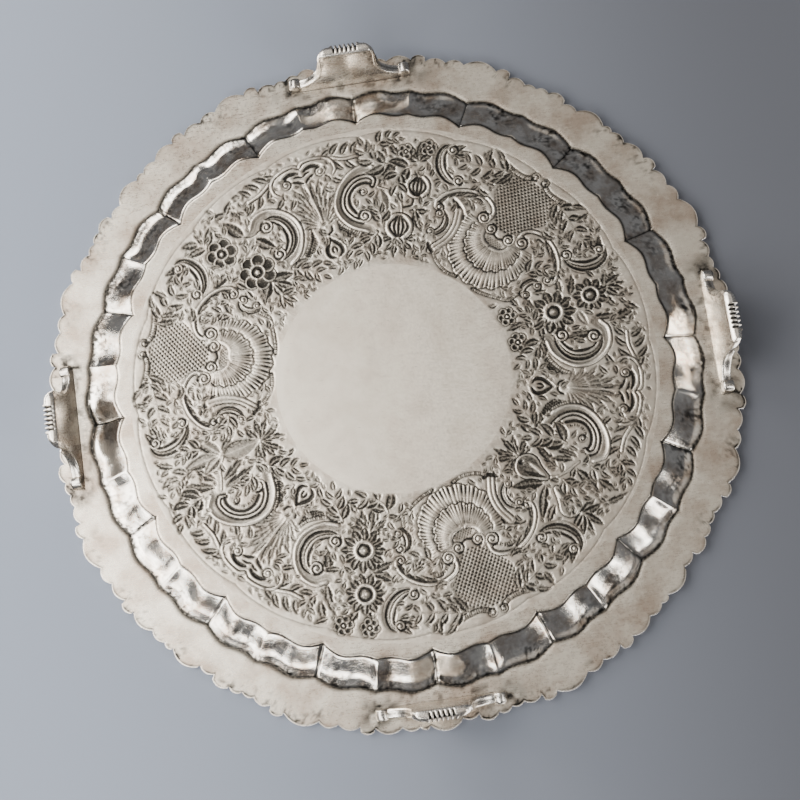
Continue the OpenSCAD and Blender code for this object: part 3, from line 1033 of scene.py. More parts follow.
# %% Foliage
def foliage(u):
    """Long leaves about a closed bud, over a spray of nine."""
    burst(u, -4.8, 110, (150, 175, 202, 230, 260, 290, 320, 352, 25), 19, 6.5, 3)
    leaves(u, [(-27, 147, -75, 27, 8, 15), (-22, 146, -60, 25, 7, 15), (-1, 140, -50, 23, 6, 15),
               (-24, 152, 65, 25, 8, -25), (-20, 150, 38, 19, 7, -25), (-22, 168, 100, 16, 7, 20),
               (-33, 188, 5, 12, 4.5, 20), (-18, 188, 60, 9, 4, 20), (-5, 176, 110, 15, 6, 20),
               (2, 175, 60, 15, 6, -20), (10, 168, 30, 12, 5, 30)], 3)
    leaves(u, [(-3, 140, 40, 25, 9, 10), (-3, 142, 92, 28, 9.5, 10), (-4, 141, 118, 18, 7, 10)], 0, 0.6)
    leaf(u, -4, 140, -90, 29, 14, 6, 0.5)
    stem(u, [(-28, 150), (-20, 147), (-12.5, 144.8), (-4.8, 139.5)], 2.2, 1.2, 0.7)


group(foliage, 203, 30.5)

# %% Sunflowers
def sunflowers(u):
    """Two large many-petalled flowers, two small ones above and a spray below."""
    burst(u, -0.3, 119, (200, 228, 252, 272, 295, 322, 345), 19, 7, 3)
    leaves(u, [(25, 158, 115, 27, 7, 20), (27, 172, 112, 18, 7, 20), (24, 153, -75, 21, 8.5, 15),
               (-25, 151, -12, 20, 8, 20), (-6, 147, 215, 18, 8, 20), (-5, 174, 140, 14, 6.5, 15),
               (-2, 175, 65, 14, 6.5, 15), (14, 148, 12, 16, 5, 20), (18, 184, 30, 13, 5, 25),
               (-16, 108, 225, 14, 5, 25), (10, 106, -40, 15, 6, 25), (-10, 100, 235, 12, 5, 20)], 3)
    sunflower(u, -5, 163.3, 15, 11, 0, 0.38)
    sunflower(u, 1.2, 131.8, 16.5, 12, 8, 0.32)
    rosette(u, -11.8, 187, 7.4, 6, 0)
    rosette(u, 7.4, 188.2, 7.6, 6, 20)


group(sunflowers, 261.3, -39.5)

# %% Pears
def pear(u, base, tip, radius, fill):
    """Pear: a round bulb drawn out to a neck, with a painted highlight down one side, painted shade down
    the other and a dark calyx.
    """
    a, b = np.array(base, float), np.array(tip, float)
    ahead = (b - a) / np.hypot(*(b - a))
    for grow, height, dark in ((0.9, -0.45, 0.88), (0.0, 0.3, 0.0), (-1.0, 0.05, fill)):
        for t in np.linspace(0, 1, 16):
            disc(u, *(a + (b - a) * t), radius * (1 - 0.74 * t ** 0.75) + grow, height, dark)
    across = np.array([ahead[1], -ahead[0]]) * radius * 0.3
    # Painted highlight on one side and painted shade on the other, over a raised and a sunk stripe
    stroke(u, [a - across, (a + b) / 2 - across * 0.7, b], 0.3 * radius, 0.4, 0.0, "lens")
    stroke(u, [a + across * 1.6, (a + b) / 2 + across, b], 0.3 * radius, -0.2, 0.7, "lens")
    disc(u, *(a - ahead * radius * 0.62), 1.7, -0.45, 0.92)


def pears(u):
    """Two pears on a branch, with long leaves."""
    burst(u, 6.8, 173, (172, 152, 95, 66, 35, 8), 18, 5.5)
    burst(u, -1.7, 110.5, (160, 192, 225, 255, 285, 315, 348, 18), 18, 6.5, 3)
    leaves(u, [(-11, 140, -103, 24, 7.5, 10), (-18, 150, 78, 26, 8.5, -20), (-21, 168, 95, 18, 7, 15),
               (12, 153, 15, 15, 6.5, 15), (-27, 148, -75, 20, 6, 10), (-24, 147, -58, 18, 6, 15),
               (-8, 182, 150, 20, 5.5, 20), (-20, 150, 20, 13, 5, 40)], 3)
    leaves(u, [(3, 139, 28, 27, 7.5, 5), (3, 138, -48, 24, 8.5, 10)])
    stem(u, [(-24, 150), (-12.5, 146.4), (-4.8, 141.8), (-0.8, 135)], 2.4, 1.4, 0.75)
    pear(u, (7.5, 163), (2, 147.5), 7.8, 0.12)
    pear(u, (0, 120.5), (-0.8, 136), 9.2, 0.5)


group(pears, 325.4, 38)

# %% [markdown]
# ### Shell cartouches
#
# Three cartouches hold a fluted shell, hung from a hinge under a panel of punched dots. The ribs are
# one wave round the hinge and the dots one brick pattern, so each is worked out for all its cells at
# once. Drawing rib by rib would give stiffer lines than the uneven hand work.

# %% Dotted grounds
def dotted_ground(u, corners, pitch, row, dot):
    """Ground of sunk dots in brick order inside an outline."""
    outline = smooth_path(list(corners) + [corners[0]], 1.5) @ u
    box, cells = window(outline, 1)
    ahead = np.roll(outline, -1, 0) - outline
    wind = np.zeros(cells.shape[:2])
    for p, d in zip(outline, ahead):
        off = cells - p
        rising = (off[..., 1] >= 0) & (off[..., 1] < d[1])
        falling = (off[..., 1] < 0) & (off[..., 1] >= d[1])
        left = d[0] * off[..., 1] - d[1] * off[..., 0] > 0
        wind += (rising & left).astype(float) - (falling & ~left)
    local = cells @ u.T
    line = np.floor(local[..., 1] / row)
    x = np.mod(local[..., 0] + 0.5 * pitch * np.mod(line, 2), pitch) - pitch / 2
    y = local[..., 1] - (line + 0.5) * row
    spot = soft(dot - np.hypot(x * 0.75, y))
    worn = 0.5 + 0.6 * clouds(cells[..., 0], cells[..., 1], 13, 31)
    paint(box, (wind != 0) * 1.0, -0.05, 0.1)
    paint(box, (wind != 0) * spot, -0.5, np.clip(0.95 * worn, 0, 1))


print("dots are set in brick order, each inside one outline")

# %% Ribbed fans
HINGE_Y = 134.0


def ribbed_tier(u, inner, outer, ribs, lobes, first, last):
    """Fan of ribs between two curves round the hinge, each curve a radius at the side and below."""
    centre = np.array([0, HINGE_Y]) @ u
    box, cells = window(centre[None], outer[1] + 3)
    local = (cells - centre) @ u.T
    rho = np.hypot(local[..., 0], local[..., 1])
    turn = np.mod(np.degrees(np.arctan2(local[..., 1], local[..., 0])) - 90, 360) + 90
    down = np.clip(-np.sin(np.radians(turn)), 0, 1) ** 1.25
    share = (turn - first) / (last - first)
    scallop = np.abs(np.sin(np.pi * lobes * share))
    low = inner[0] + (inner[1] - inner[0]) * down
    high = outer[0] + (outer[1] - outer[0]) * down + 1.7 * scallop - 0.9
    across = np.clip((rho - low) / (high - low), 0, 1)
    fan = (share > 0) & (share < 1)
    inside = soft(high - rho) * soft(rho - low) * fan
    uneven = clouds(turn, rho * 0 + outer[1], 3.1, 17) - 0.5
    wave = 0.5 + 0.5 * np.cos(2 * np.pi * (ribs * share + 0.5 * uneven))
    reach = 0.55 + 0.9 * clouds(turn, rho * 0, 2.3, 18)
    groove = wave ** 1.8 * np.clip(np.abs(2 * across - 0.8) ** 1.1 * reach + 0.25, 0, 1)
    paint(box, soft(high + 1.0 - rho) * soft(rho - high) * fan, -0.5, 0.55 + 0.35 * (scallop < 0.5))
    paint(box, inside, 0.45 - 0.6 * groove - 0.35 * across, np.clip(1.15 * groove - 0.06, 0, 0.92))
    paint(box, soft(rho - high + 1.0) * inside * (1 - 0.6 * wave), 0.3, 0.0)


print(f"shells hang from a hinge at {HINGE_Y} mm")

# %% Three shells
def shell_cartouche(angle):
    """Fluted shell under a dotted panel, between two leafy arms."""
    u = unit(angle)
    panel_edge = [(-11, 144), (-13, 151), (-20, 158), (-24, 166), (-21, 178), (-17, 183), (-8, 184),
                  (0, 186), (8, 184), (17, 183), (24, 178), (25, 166), (20, 158), (13, 151), (11, 144),
                  (0, 140)]
    dotted_ground(u, panel_edge, 3.4, 2.0, 0.85)
    ribbed_tier(u, (19, 26), (29, 42), 42, 13, 172, 368)
    ribbed_tier(u, (11.5, 11.5), (20.5, 27.5), 34, 11, 178, 362)
    arm = [(13, 143.5), (14, 149.5), (19.5, 154), (28, 155.5), (38, 153), (47, 147), (53, 139), (55, 131),
           (52.5, 126.2), (48.5, 127.5)]
    crest = [(6.5, 187.4), (12, 185.2), (20, 184.8), (28, 186), (35, 187.5)]
    for side in (-1, 1):
        v = unit(angle, side)
        strips(v, [(0, 124), (7, 125.5), (11, 130), (12, 137)],
               [(-1.2, 1.2, 0.35, 0.0), (1.2, 2, -0.4, 0.8)])
        leaves(v, [(30, 153, -40, 15, 5.5, -70), (38, 151, -50, 16, 6, -60), (45, 147, -62, 15, 5.5, -45),
                   (50, 141, -78, 13, 5, -30), (24, 150, -30, 13, 4.5, -70)])
        ticks(v, [(20, 145.6), (25, 148.8), (33, 148.6)], 3.0, 1.7)
        strips(v, arm, [(-2.6, -1.2, -0.35, 0.75), (-1.0, 0.8, 0.4, 0.0), (0.8, 1.7, -0.4, 0.7)])
        volute(v, 8, 137, 4.4, 60, 1.7, -1)
        volute(v, 17.5, 141, 4.8, 120, 1.8, 1)
        volute(v, 50, 128.4, 3.4, 40, 1.4, -1)
        volute(v, 4.4, 190.3, 3.2, 200, 1.5, -1)
        strips(v, crest, [(-2.4, -1.3, -0.45, 0.85), (1.3, 2.2, -0.4, 0.75)])
        ticks(v, crest, 2.6, 1.8)
        spray(v, [(23, 181), (33, 177.5), (43, 173), (52, 169.5), (60, 168.5)], 4, 14, 48)
        leaves(v, [(21, 184, -70, 17, 7, 50), (27, 182, -60, 13, 5, 60), (24, 159, 5, 14, 5.5, 110),
                   (24, 167, -10, 10, 4, 60), (31, 186, 25, 13, 5, -40), (41, 178, 75, 13, 6, 30)], 3)
    stroke(u, [(-4.5, 135), (0, 133.4), (4.5, 135)], 1.8, -0.4, 0.9)
    dotted_ground(u, [(-6, 131.5), (0, 132.2), (6, 131.5), (7.5, 128.5), (0, 125.6), (-7.5, 128.5)],
                  2.2, 1.4, 0.5)
    stroke(u, [(-46, 139.5), (-38, 136.5), (-29, 131)], 4.0, -0.45, 0.9, "lens")
    stroke(u, [(-44, 142), (-36, 139.5), (-29, 134.5)], 1.3, 0.3, 0.0)
    strips(u, [(-36, 134), (-31.5, 123), (-31, 111), (-36, 97)],
           [(-3.6, 3.6, -0.4, 0.7), (-2.6, 2.6, 0.15, 0.12), (-0.5, 0.5, -0.3, 0.55)])
    stroke(u, [(-40, 99.5), (-35, 96.6), (-30.5, 97)], 3.0, -0.45, 0.9)
    c_scroll(u, [(-46, 127.8), (-40.5, 123.5), (-38.5, 117), (-40.5, 110.5), (-45.5, 105.8)], 5.5,
             (-47, 124.3, 3.2), (-44.8, 108.8, 2.8), -1)
    c_scroll(u, [(46.5, 123.6), (41, 121), (38.5, 115), (40, 109), (44, 106.6)], 5.5,
             (46.8, 120.3, 3.2), (43.6, 109.6, 2.8), 1)
    for ribbon in ([(-33, 96), (-26, 91.5), (-16, 89.4), (-8, 91)],
                   [(8, 90), (18, 92), (28, 95.5), (35, 98.5), (38, 106)]):
        beaded(u, ribbon, 3.2, 1.5)


for centre in (53.7, 172.7, 293.7):
    shell_cartouche(centre)
print("three shells, dark share", dark_share())

# %% [markdown]
# ### Plume cartouches
#
# Three taller cartouches hold a plume of long leaves between two large C-scrolls. Most strokes are
# mirrored about the axis, and the two big scrolls differ, as they do on the plate. One list for both
# sides would be shorter, but it would lose that swing.

# %% Sides of a plume cartouche
def tuft(u, low, high, count, size, seed):
    """Fine foliage: short dark strokes at random inside a box, mostly along its length."""
    dice = np.random.default_rng(seed)
    for x, y, head in zip(dice.uniform(low[0], high[0], count), dice.uniform(low[1], high[1], count),
                          dice.uniform(-55, 55, count)):
        leaf(u, x, y, head + (0 if x > 0 else 180), size * dice.uniform(0.7, 1.2), 0.4 * size, 30, 0.72)


PLUME_HALF = [(3, 130, 15, 13, 4.5, -60), (2.5, 131, 34, 19, 5.5, -50), (2, 131, 50, 27, 6.5, -45),
              (1.5, 131, 63, 34, 7, -38), (1, 130, 74, 39, 7, -30), (0.6, 130, 84, 41, 6, -14)]


def plume_side(v):
    """One side: half the plume, foliage under the arch, and a beaded line down to a leaf spray."""
    leaves(v, PLUME_HALF, 4, 0.66)
    tuft(v, (6, 184), (26, 190), 8, 6, 41)
    tuft(v, (26, 176), (46, 185), 8, 6, 42)
    leaves(v, [(19, 183, 15, 13, 4.5, 20), (26, 180, 35, 13, 5, -40), (34, 177, 40, 13, 5, -40),
               (42, 174.5, 45, 12, 5, -40), (27, 176, -60, 12, 4.5, 60), (35, 173, -55, 12, 4.5, 55),
               (43, 171, -50, 12, 4.5, 50), (20, 164, -40, 11, 4.5, 40), (12, 160, -50, 10, 4, 30)])
    arch = [(0.5, 182), (4, 184.4), (12, 184.2), (20, 182), (28, 177.5), (36, 173.5), (46, 171.8)]
    strips(v, arch, [(-1.8, 1.8, -0.4, 0.75), (-0.9, 0.9, 0.35, 0.0)])
    stroke(v, [(1, 177), (6, 178.8), (11, 178.6), (16.5, 176)], 3.2, -0.45, 0.9, "lens")
    stroke(v, [(1, 179.4), (6, 181), (12, 180.6), (18, 177), (19, 172)], 1.2, 0.35, 0.0)
    strips(v, [(18, 183), (24.5, 178), (25.5, 170), (20, 164)],
           [(-1.9, 1.9, -0.4, 0.8), (-0.9, 0.9, 0.3, 0.0)], "lens")
    volute(v, 14, 172.4, 3.8, 60, 1.7, -1)
    stroke(v, [(0, 167.6), (4, 170.4), (9.5, 172.6)], 2.4, -0.45, 0.9, "lens")
    stroke(v, [(0, 173), (3, 175), (7.5, 175.6)], 2.0, -0.4, 0.85, "lens")
    stroke(v, [(0.5, 122.6), (3.8, 124), (5, 127.4)], 1.9, -0.4, 0.88)
    dotted_ground(v, [(10, 130), (9.5, 120), (15, 113.5), (28, 109.5), (23, 116), (16, 122)],
                  2.4, 1.6, 0.85)
    bead_line = [(35, 109.5), (23, 114.5), (14.5, 123.5), (11.5, 131)]
    beaded(v, bead_line, 3.0, 1.7)
    spray(v, [(35, 109), (27, 104.5), (20, 99), (16, 94)], 3, 13, 38)
    leaves(v, [(30, 106.5, 190, 14, 5, 50), (22, 104, 180, 12, 4.5, 60), (13, 104, 215, 10, 4, 40)])
    stroke(v, [(-1, 120.5), (2.3, 116), (5.4, 111), (5, 106), (1, 103.2)], 3.2, -0.45, 0.92, "lens")
    stroke(v, [(-1, 122.5), (4.2, 117), (7.8, 110.6), (6.8, 104.6), (1, 101.4)], 1.0, 0.35, 0.0)
    stroke(v, [(0, 113), (1.6, 110), (1, 107)], 1.8, -0.4, 0.75, "lens")


print(2 * len(PLUME_HALF), "long leaves in a plume")

# %% Three plumes
def plume_cartouche(angle):
    """Tall plume between two large C-scrolls, under an arch with crowning scrolls."""
    u = unit(angle)
    for side in (-1, 1):
        plume_side(unit(angle, side))
    stroke(u, [(0, 168), (0, 128)], 1.0, 0.3, 0.0)
    strips(u, [(-53, 152), (-47, 158.5), (-36, 160), (-26, 155), (-19, 146), (-17, 136), (-20, 126),
               (-26, 117.5), (-34, 113)],
           [(-6.2, -0.9, -0.15, 0.32), (-4.4, -3.7, -0.3, 0.5), (-2.6, -1.9, -0.3, 0.5),
            (-0.9, 0.9, 0.4, 0.0), (0.9, 1.8, -0.4, 0.7)])
    c_scroll(u, [(-42, 153.2), (-33, 151.5), (-27, 145), (-25, 136), (-27.5, 128), (-34, 121.5),
                 (-41, 119.3)], 8.2, (-40.8, 148, 4.9), (-39.8, 124, 4.7), -1)
    strips(u, [(55, 152), (51, 160), (43, 162.6), (33, 160.5), (22, 153.5), (14.5, 143), (13.8, 132),
               (19, 121), (29, 112.5)],
           [(0.9, 5.2, -0.15, 0.32), (2.6, 3.3, -0.3, 0.5), (-0.9, 0.9, 0.4, 0.0), (-1.8, -0.9, -0.4, 0.7)])
    hairpin = [(46.5, 145.4), (49, 149), (45.5, 153.6), (36, 154.6), (27, 150.5), (20.8, 143), (19.4, 135),
               (22.5, 127), (28, 121.4)]
    strips(u, hairpin, [(-2.4, 2.4, -0.45, 0.92), (-0.7, 0.7, 0.35, 0.0), (2.4, 3.2, 0.3, 0.0)])
    stroke(u, [(46, 147), (41, 149.4), (34, 149.2), (27.5, 145), (25, 138), (26.5, 130)], 2.4, -0.4, 0.9)
    ticks(u, [(37, 145.5), (31.5, 143.6), (28.4, 138), (29.4, 130.5)], 2.2, 1.7)
    volute(u, 31.5, 124.8, 4.9, 200, 1.7, 1)
    volute(u, 38, 143, 2.8, 100, 1.4, -1)


for centre in (-4.0, 113.7, 233.3):
    plume_cartouche(centre)
print("three plumes, dark share", dark_share())

# %% [markdown]
# ### Growth on the bare ground
#
# Small foliage fills what is left between the motifs, as dense as a chaser could set it. Thousands of
# leaves could be scattered evenly, but they would cross. So each frond is tried in six directions
# along a slow swirl and drawn only where the ground under it is still bare, the long ones first.

# %% Bare ground
# Length and leaf pairs of each generation; without pairs it is a single leaf
GROWTHS = [(26, 3), (18, 3), (12, 2), (8, 0), (5, 0)]
GROWTH_IN = 96
GROWTH_OUT = 188
ring = np.radians(np.arange(0, 360, 45))
ABOUT = np.stack([np.cos(ring), np.sin(ring)], -1)
ABOUT = np.concatenate([[[0, 0]], 0.5 * ABOUT, ABOUT])


def curl(root, head, length, bend):
    """Five points of an arc from a root, whose heading turns by the bend over its length."""
    turn = np.radians(head + bend * np.linspace(0, 1, 4))
    steps = np.stack([np.cos(turn), np.sin(turn)], -1) * length / 4
    return np.concatenate([[root], root + np.cumsum(steps, 0)])


def bare(u, places, reach):
    """Whether the ground is still undrawn at each place and on two rings about it."""
    at = ((places @ u)[:, None] + reach * ABOUT + MAP_HALF) / MAP_STEP
    at = at.astype(int).clip(0, map_cells - 1)
    return tarnish_and_shade_map[at[..., 1], at[..., 0]].max() < 0.22


print(len(ABOUT), "looks at the ground for each place")

# %% Fronds and leaves
def fill_ground(length, pairs, seed):
    """Curling fronds, or single leaves, wherever the ground is still bare, along a slow swirl."""
    dice = np.random.default_rng(seed)
    count = 0
    for r in np.arange(GROWTH_IN, GROWTH_OUT, 1.0 + 0.19 * length):
        for a in np.arange(0, 360, math.degrees((1.6 + 0.19 * length) / r)):
            u = unit(a + dice.uniform(-0.5, 0.5))
            root = np.array([0, r + dice.uniform(-1.2, 1.2)])
            swirl = 540 * float(clouds(*(root @ u), 34, 51)) + dice.uniform(-30, 30)
            bend, fill = dice.uniform(40, 95) * dice.choice([-1, 1]), dice.uniform(0.68, 1.0)
            if not bare(u, root[None], 0.9):
                continue
            for turn in (0, 60, -60, 120, -120, 180):
                path = curl(root, swirl + turn, length, bend)
                within = GROWTH_IN - 3 < path[-1][1] < GROWTH_OUT + 2
                if within and bare(u, path[1:], 0.09 * length + 0.5):
                    if pairs:
                        spray(u, path, pairs, 0.62 * length, 32, fill)
                    else:
                        leaf(u, *root, swirl + turn, length, 0.4 * length + 0.4, bend, fill)
                    count += 1
                    break
    print(f"growth of {length} mm on the bare ground:", count)


for growth, leaf_pairs in GROWTHS:
    fill_ground(growth, leaf_pairs, growth)
print("dark share", dark_share())

# %% [markdown]
# ### Bracketed line
#
# One fine line closes the band, with a cusp towards every crease of the wall. It is a wave of the
# angle, painted a short stretch at a time: the whole ring at once would need a window on all the map.

# %% Bracketed line
BRACKET_R = 192.2
CUSP_RISE = 3.2
BRACKET_STEP = 0.125
STRETCH = 90
turn = np.radians(np.arange(0, 372, BRACKET_STEP))
cusp = np.abs(np.sin((turn - math.radians(PATTERN_TURN)) * LOBES / 2))
bracket = (BRACKET_R + CUSP_RISE * cusp ** 0.6)[:, None] * np.stack([np.cos(turn), np.sin(turn)], -1)
for start in range(0, int(360 / BRACKET_STEP), STRETCH):
    box, s, _, _ = along(bracket[start:start + STRETCH + 2], 1)
    paint(box, soft(0.3 - np.abs(s)), -0.3, 0.55)
print("dark share of the finished band:", dark_share())

# %% [markdown]
# ## From the map to the sheet
#
# The chased forms are soft, because they were pushed into the sheet from the other side, so a
# blurred copy of the map is added to the sharp one. Eight sectors carry it on both faces. The top
# is the same sheet, so what is sunk below stands out above, and tarnish sits in its own hollows.
# A displacement texture could do this on one face, but two faces of one sheet have to move together.

# %% Heights and hollows
def blur(field, width):
    """Gaussian blur of a map by a width in millimetres, done on its waves."""
    fy, fx = np.fft.fftfreq(field.shape[0], MAP_STEP), np.fft.rfftfreq(field.shape[1], MAP_STEP)
    damp = np.exp(-2 * (np.pi * width) ** 2 * (fy[:, None] ** 2 + fx[None] ** 2))
    return np.fft.irfft2(np.fft.rfft2(field) * damp, field.shape)


def over_map(size, seed):
    """Clouds at every cell of the map."""
    cells = np.arange(map_cells) * MAP_STEP - MAP_HALF
    return clouds(cells[None], cells[:, None], size, seed)


matted = 0.07 * (over_map(1.5, 61) - 0.5)
shaped = 1.2 * blur(relief + matted, 0.45) + 1.4 * blur(relief, 2.2)
film = 0.05 + 0.16 * over_map(11, 62) * over_map(3, 63)
# Under face: the map with its painted shade, tarnish in hollows and round the motifs, and a thin film;
# upper face: tarnish in its own hollows and a little of the map
tarnish_and_shade_below = np.clip(tarnish_and_shade_map + 0.5 * (blur(shaped, 1.2) - shaped) + 0.45 * blur(tarnish_and_shade_map, 2.4) + film, 0, 1)
tarnish_and_shade_above = np.clip(0.9 * (shaped - blur(shaped, 1.6)) + 0.1 * tarnish_and_shade_map, 0, 1)
print(f"chased from {shaped.min():.2f} to {shaped.max():.2f} mm")

# %% Chased sectors
SECTORS = 8
SECTOR_STEPS = 180
BAND_STEP = 0.6
FADE_OUT = 3
FADE_IN = 2


def sample(field, a, r):
    """Map values at an angle and radius on the plate, blended between the four nearest cells."""
    t = np.radians(PATTERN_TURN - a)
    u, v = (r * np.cos(t) + MAP_HALF) / MAP_STEP, (r * np.sin(t) + MAP_HALF) / MAP_STEP
    i, j = v.astype(int), u.astype(int)
    s, t = v - i, u - j
    return ((field[i, j] * (1 - t) + field[i, j + 1] * t) * (1 - s)
            + (field[i + 1, j] * (1 - t) + field[i + 1, j + 1] * t) * s)


radii = np.linspace(DISC_R, BAND_R, int((BAND_R - DISC_R) / BAND_STEP) + 1)
for sector in range(SECTORS):
    turn = 360 / SECTORS * (sector + np.linspace(0, 1, SECTOR_STEPS + 1))
    a, r = np.meshgrid(turn, radii)
    fade = np.clip((BAND_R - r) / FADE_OUT, 0, 1) * np.clip((r - DISC_R) / FADE_IN, 0, 1)
    h, below, above = [sample(field, a, r) * fade for field in (shaped, tarnish_and_shade_below, tarnish_and_shade_above)]
    name = f"chased_sector_{sector + 1}"
    mesh = make_mesh(name, *slab(a, r, PLATE_Z - h, PLATE_Z + SHEET_T - h, below, above))
    place(name, mesh, "plate", chased_silver)

# %% [markdown]
# ## Plain centre
#
# The middle of the sheet was left flat and buffed, and it sags a little towards the viewer below. A
# fan of triangles about one point would pinch the reflection there, so a square grid is bent into a
# disc: each row is shortened as it nears the edge.

# %% Plain centre
CENTRE_CELLS = 72
CENTRE_SAG = 0.25
CENTRE_DENT = 0.12
u, v = np.meshgrid(np.linspace(1, -1, CENTRE_CELLS + 1), np.linspace(-1, 1, CENTRE_CELLS + 1))
x, y = DISC_R * u * np.sqrt(1 - v * v / 2), DISC_R * v * np.sqrt(1 - u * u / 2)
r = np.hypot(x, y)
sag = CENTRE_SAG * (1 - (r / DISC_R) ** 2) + CENTRE_DENT * clouds(x, y, 24, 8)
sag = sag * np.clip((DISC_R - r) / 6, 0, 1)
under, over = [np.stack([x, y, z - sag], -1) for z in (PLATE_Z, PLATE_Z + SHEET_T)]
flat = np.zeros_like(x)
mesh = make_mesh("plain_centre", *closed_pair(under, over, flat, flat))
place("plain_centre", mesh, "plate", sheet_silver)

# %% [markdown]
# ## Border castings
#
# Each casting is a scalloped strip on top of the flange, with a shell at its longest scallop and
# leaf scrolls on the rest. From below only its edge shows, as a bright lip. The top could be sculpted
# by hand; a height over angle and distance from the edge repeats exactly, as castings from one
# pattern do. It has a domed lobe on every scallop with flutes that fan from its root, and a string
# of beads along the inner edge.

# %% Casting heights
SHELL_AT = 4
BEAD_W = 3.6
BEAD_H = 1.9
BEADS = 44
LIP_H = 1.1
TOP_H = casting_high[2] - FLANGE_TOP


def casting_top(a, q):
    """Radius, height above the flange and tarnish at angle a and place q, 1 at the edge.

    A dome on each scallop is the root of a round across times a round inwards, cut by flutes; waves
    of leaf scroll fill the ground beside it.
    """
    k, t = scallop_at(a)
    b = np.mod(a - JOINT_A, SECTION_A)
    size = np.clip(shares[k] / 8, 0.3, 1)
    root, edge = BORDER_R + BEAD_W, rim_edge(a)
    r = root + q * (edge - root)
    width = scallop_widths[k] / 2
    reach = np.minimum(width * 1.5, edge - root - 0.5)
    inward = (edge - r) / reach
    dome = np.sqrt(np.clip(1 - t * t, 0, 1)) * np.sqrt(np.clip(1 - (2 * inward - 0.9) ** 2, 0, 1))
    fan = np.arctan2(t * width, reach * 1.15 - (edge - r))
    count = np.where(k == SHELL_AT, 9, np.where(shares[k] > 4, 5, 3))
    flute = np.abs(np.cos(fan * count * 1.35))
    height = LIP_H + (TOP_H - LIP_H) * size * dome * (0.72 + 0.28 * flute)
    sway = 2.5 * np.sin(np.radians(b) * 60)
    swirl = 0.5 + 0.5 * np.cos(14 * q + sway + 5 * clouds(b * 4, q * 9, 3.5, 12))
    ground = np.clip(1 - 2 * dome, 0, 1)
    height = height + 0.8 * swirl * ground * np.clip(6 * q * (1 - q), 0, 1)
    dark = ground * (1 - swirl) * 0.75 + (1 - flute) ** 2 * np.clip(3 * dome, 0, 1) * 0.8
    return r, height, np.clip(dark, 0, 1)


def bead_row(a, q):
    """Radius, height and tarnish of the string of beads: a round across times a round along.

    q runs from 0 to 1 across the string.
    """
    b = np.mod(a - JOINT_A, SECTION_A) / SECTION_A * BEADS
    beside = 2 * np.abs(b - np.round(b))
    ball = np.sqrt(np.clip(1 - (2 * q - 1) ** 2, 0, 1)) * np.sqrt(np.clip(1.1 - beside ** 2, 0, 1))
    return BORDER_R + BEAD_W * q, LIP_H + BEAD_H * ball, np.clip(1 - 1.3 * ball, 0, 1) * 0.8


print(f"castings rise {TOP_H:.1f} mm from a lip of {LIP_H} mm")

# %% Eight castings
CAST_STEP = 0.125
CAST_GAP = 0.01
across = np.concatenate([np.linspace(-1, -0.02, 9), np.linspace(0, 1, 25) ** 0.85])
round_it = np.linspace(CAST_GAP, SECTION_A - CAST_GAP, int(SECTION_A / CAST_STEP) + 1)
for index in range(CASTINGS):
    a, q = np.meshgrid(JOINT_A + SECTION_A * index + round_it, across)
    beads, field = bead_row(a, q + 1), casting_top(a, np.clip(q, 0, 1))
    r, height, dark = [np.where(q < 0, low, high) for low, high in zip(beads, field)]
    base = np.full_like(r, FLANGE_TOP)
    name = f"border_{index + 1}"
    mesh = make_mesh(name, *slab(a, r, base, base + np.minimum(height, TOP_H), 0 * r, dark))
    place(name, mesh, f"border_casting_{index + 1}", cast_silver)

# %% [markdown]
# ## Feet
#
# A foot is a flat web that leans outwards, swept in from the flange to a shell at the sole. Its
# inner face is plain; rounded flute backs stand on its outer face. The shell rolls over at the sole
# into a fluted lip, whose grooves are dark. A ribbon stands along each sweep and rolls up into a
# scroll at the flange. Boolean cuts could carve the flutes, but one grid that runs down the inner
# face, over the lip and up the outer face keeps them smooth.

# %% Foot outline
FOOT_LEAN = 12.0
WEB_T = 3.0
CREST_W = 44.0
CREST_R = 9.0
STRIP_H = 7.0
VOLUTE_R = 4.6
SOLE_W = 5.0
lean = math.radians(FOOT_LEAN)
SOLE_Y = FLANGE_Z / math.cos(lean) + SOLE_W * math.tan(lean)
SWEEP_R = min(FOOT_L / 2 - VOLUTE_R - CREST_W / 2, SOLE_Y - CREST_R - STRIP_H) - 1
SWEEP_C = (CREST_W / 2 + SWEEP_R, STRIP_H + SWEEP_R)
CORNER_Y = SOLE_Y - CREST_R


def foot_half_width(y):
    """Half width of the web at distance y below the flange: strip, concave sweep, round shell."""
    sweep = SWEEP_C[0] - np.sqrt(np.clip(SWEEP_R ** 2 - (SWEEP_C[1] - y) ** 2, 0, None))
    corner = CREST_W / 2 - CREST_R + np.sqrt(np.clip(CREST_R ** 2 - (y - CORNER_Y) ** 2, 0, None))
    return np.where(y < STRIP_H, FOOT_L / 2 - VOLUTE_R,
                    np.where(y < SWEEP_C[1], sweep, np.where(y < CORNER_Y, CREST_W / 2, corner)))


print(f"sweep of {SWEEP_R:.1f} mm, sole {SOLE_Y:.1f} mm down the web")

# %% Flutes
FLUTES = 7
FLUTED_SHARE = 0.56
GROOVE_W = 0.85
FLUTE_W = FLUTED_SHARE * CREST_W / FLUTES


def flute_fan(x, y):
    """Place in the fan of flutes, hinged above the shell: flutes from its middle, and its spread."""
    hinge_y = STRIP_H + SWEEP_R / 3 - 8
    spread = 0.25 + 0.75 * np.clip((y - hinge_y) / (SOLE_Y - hinge_y), 0.05, 1)
    return x / (FLUTE_W * spread), spread


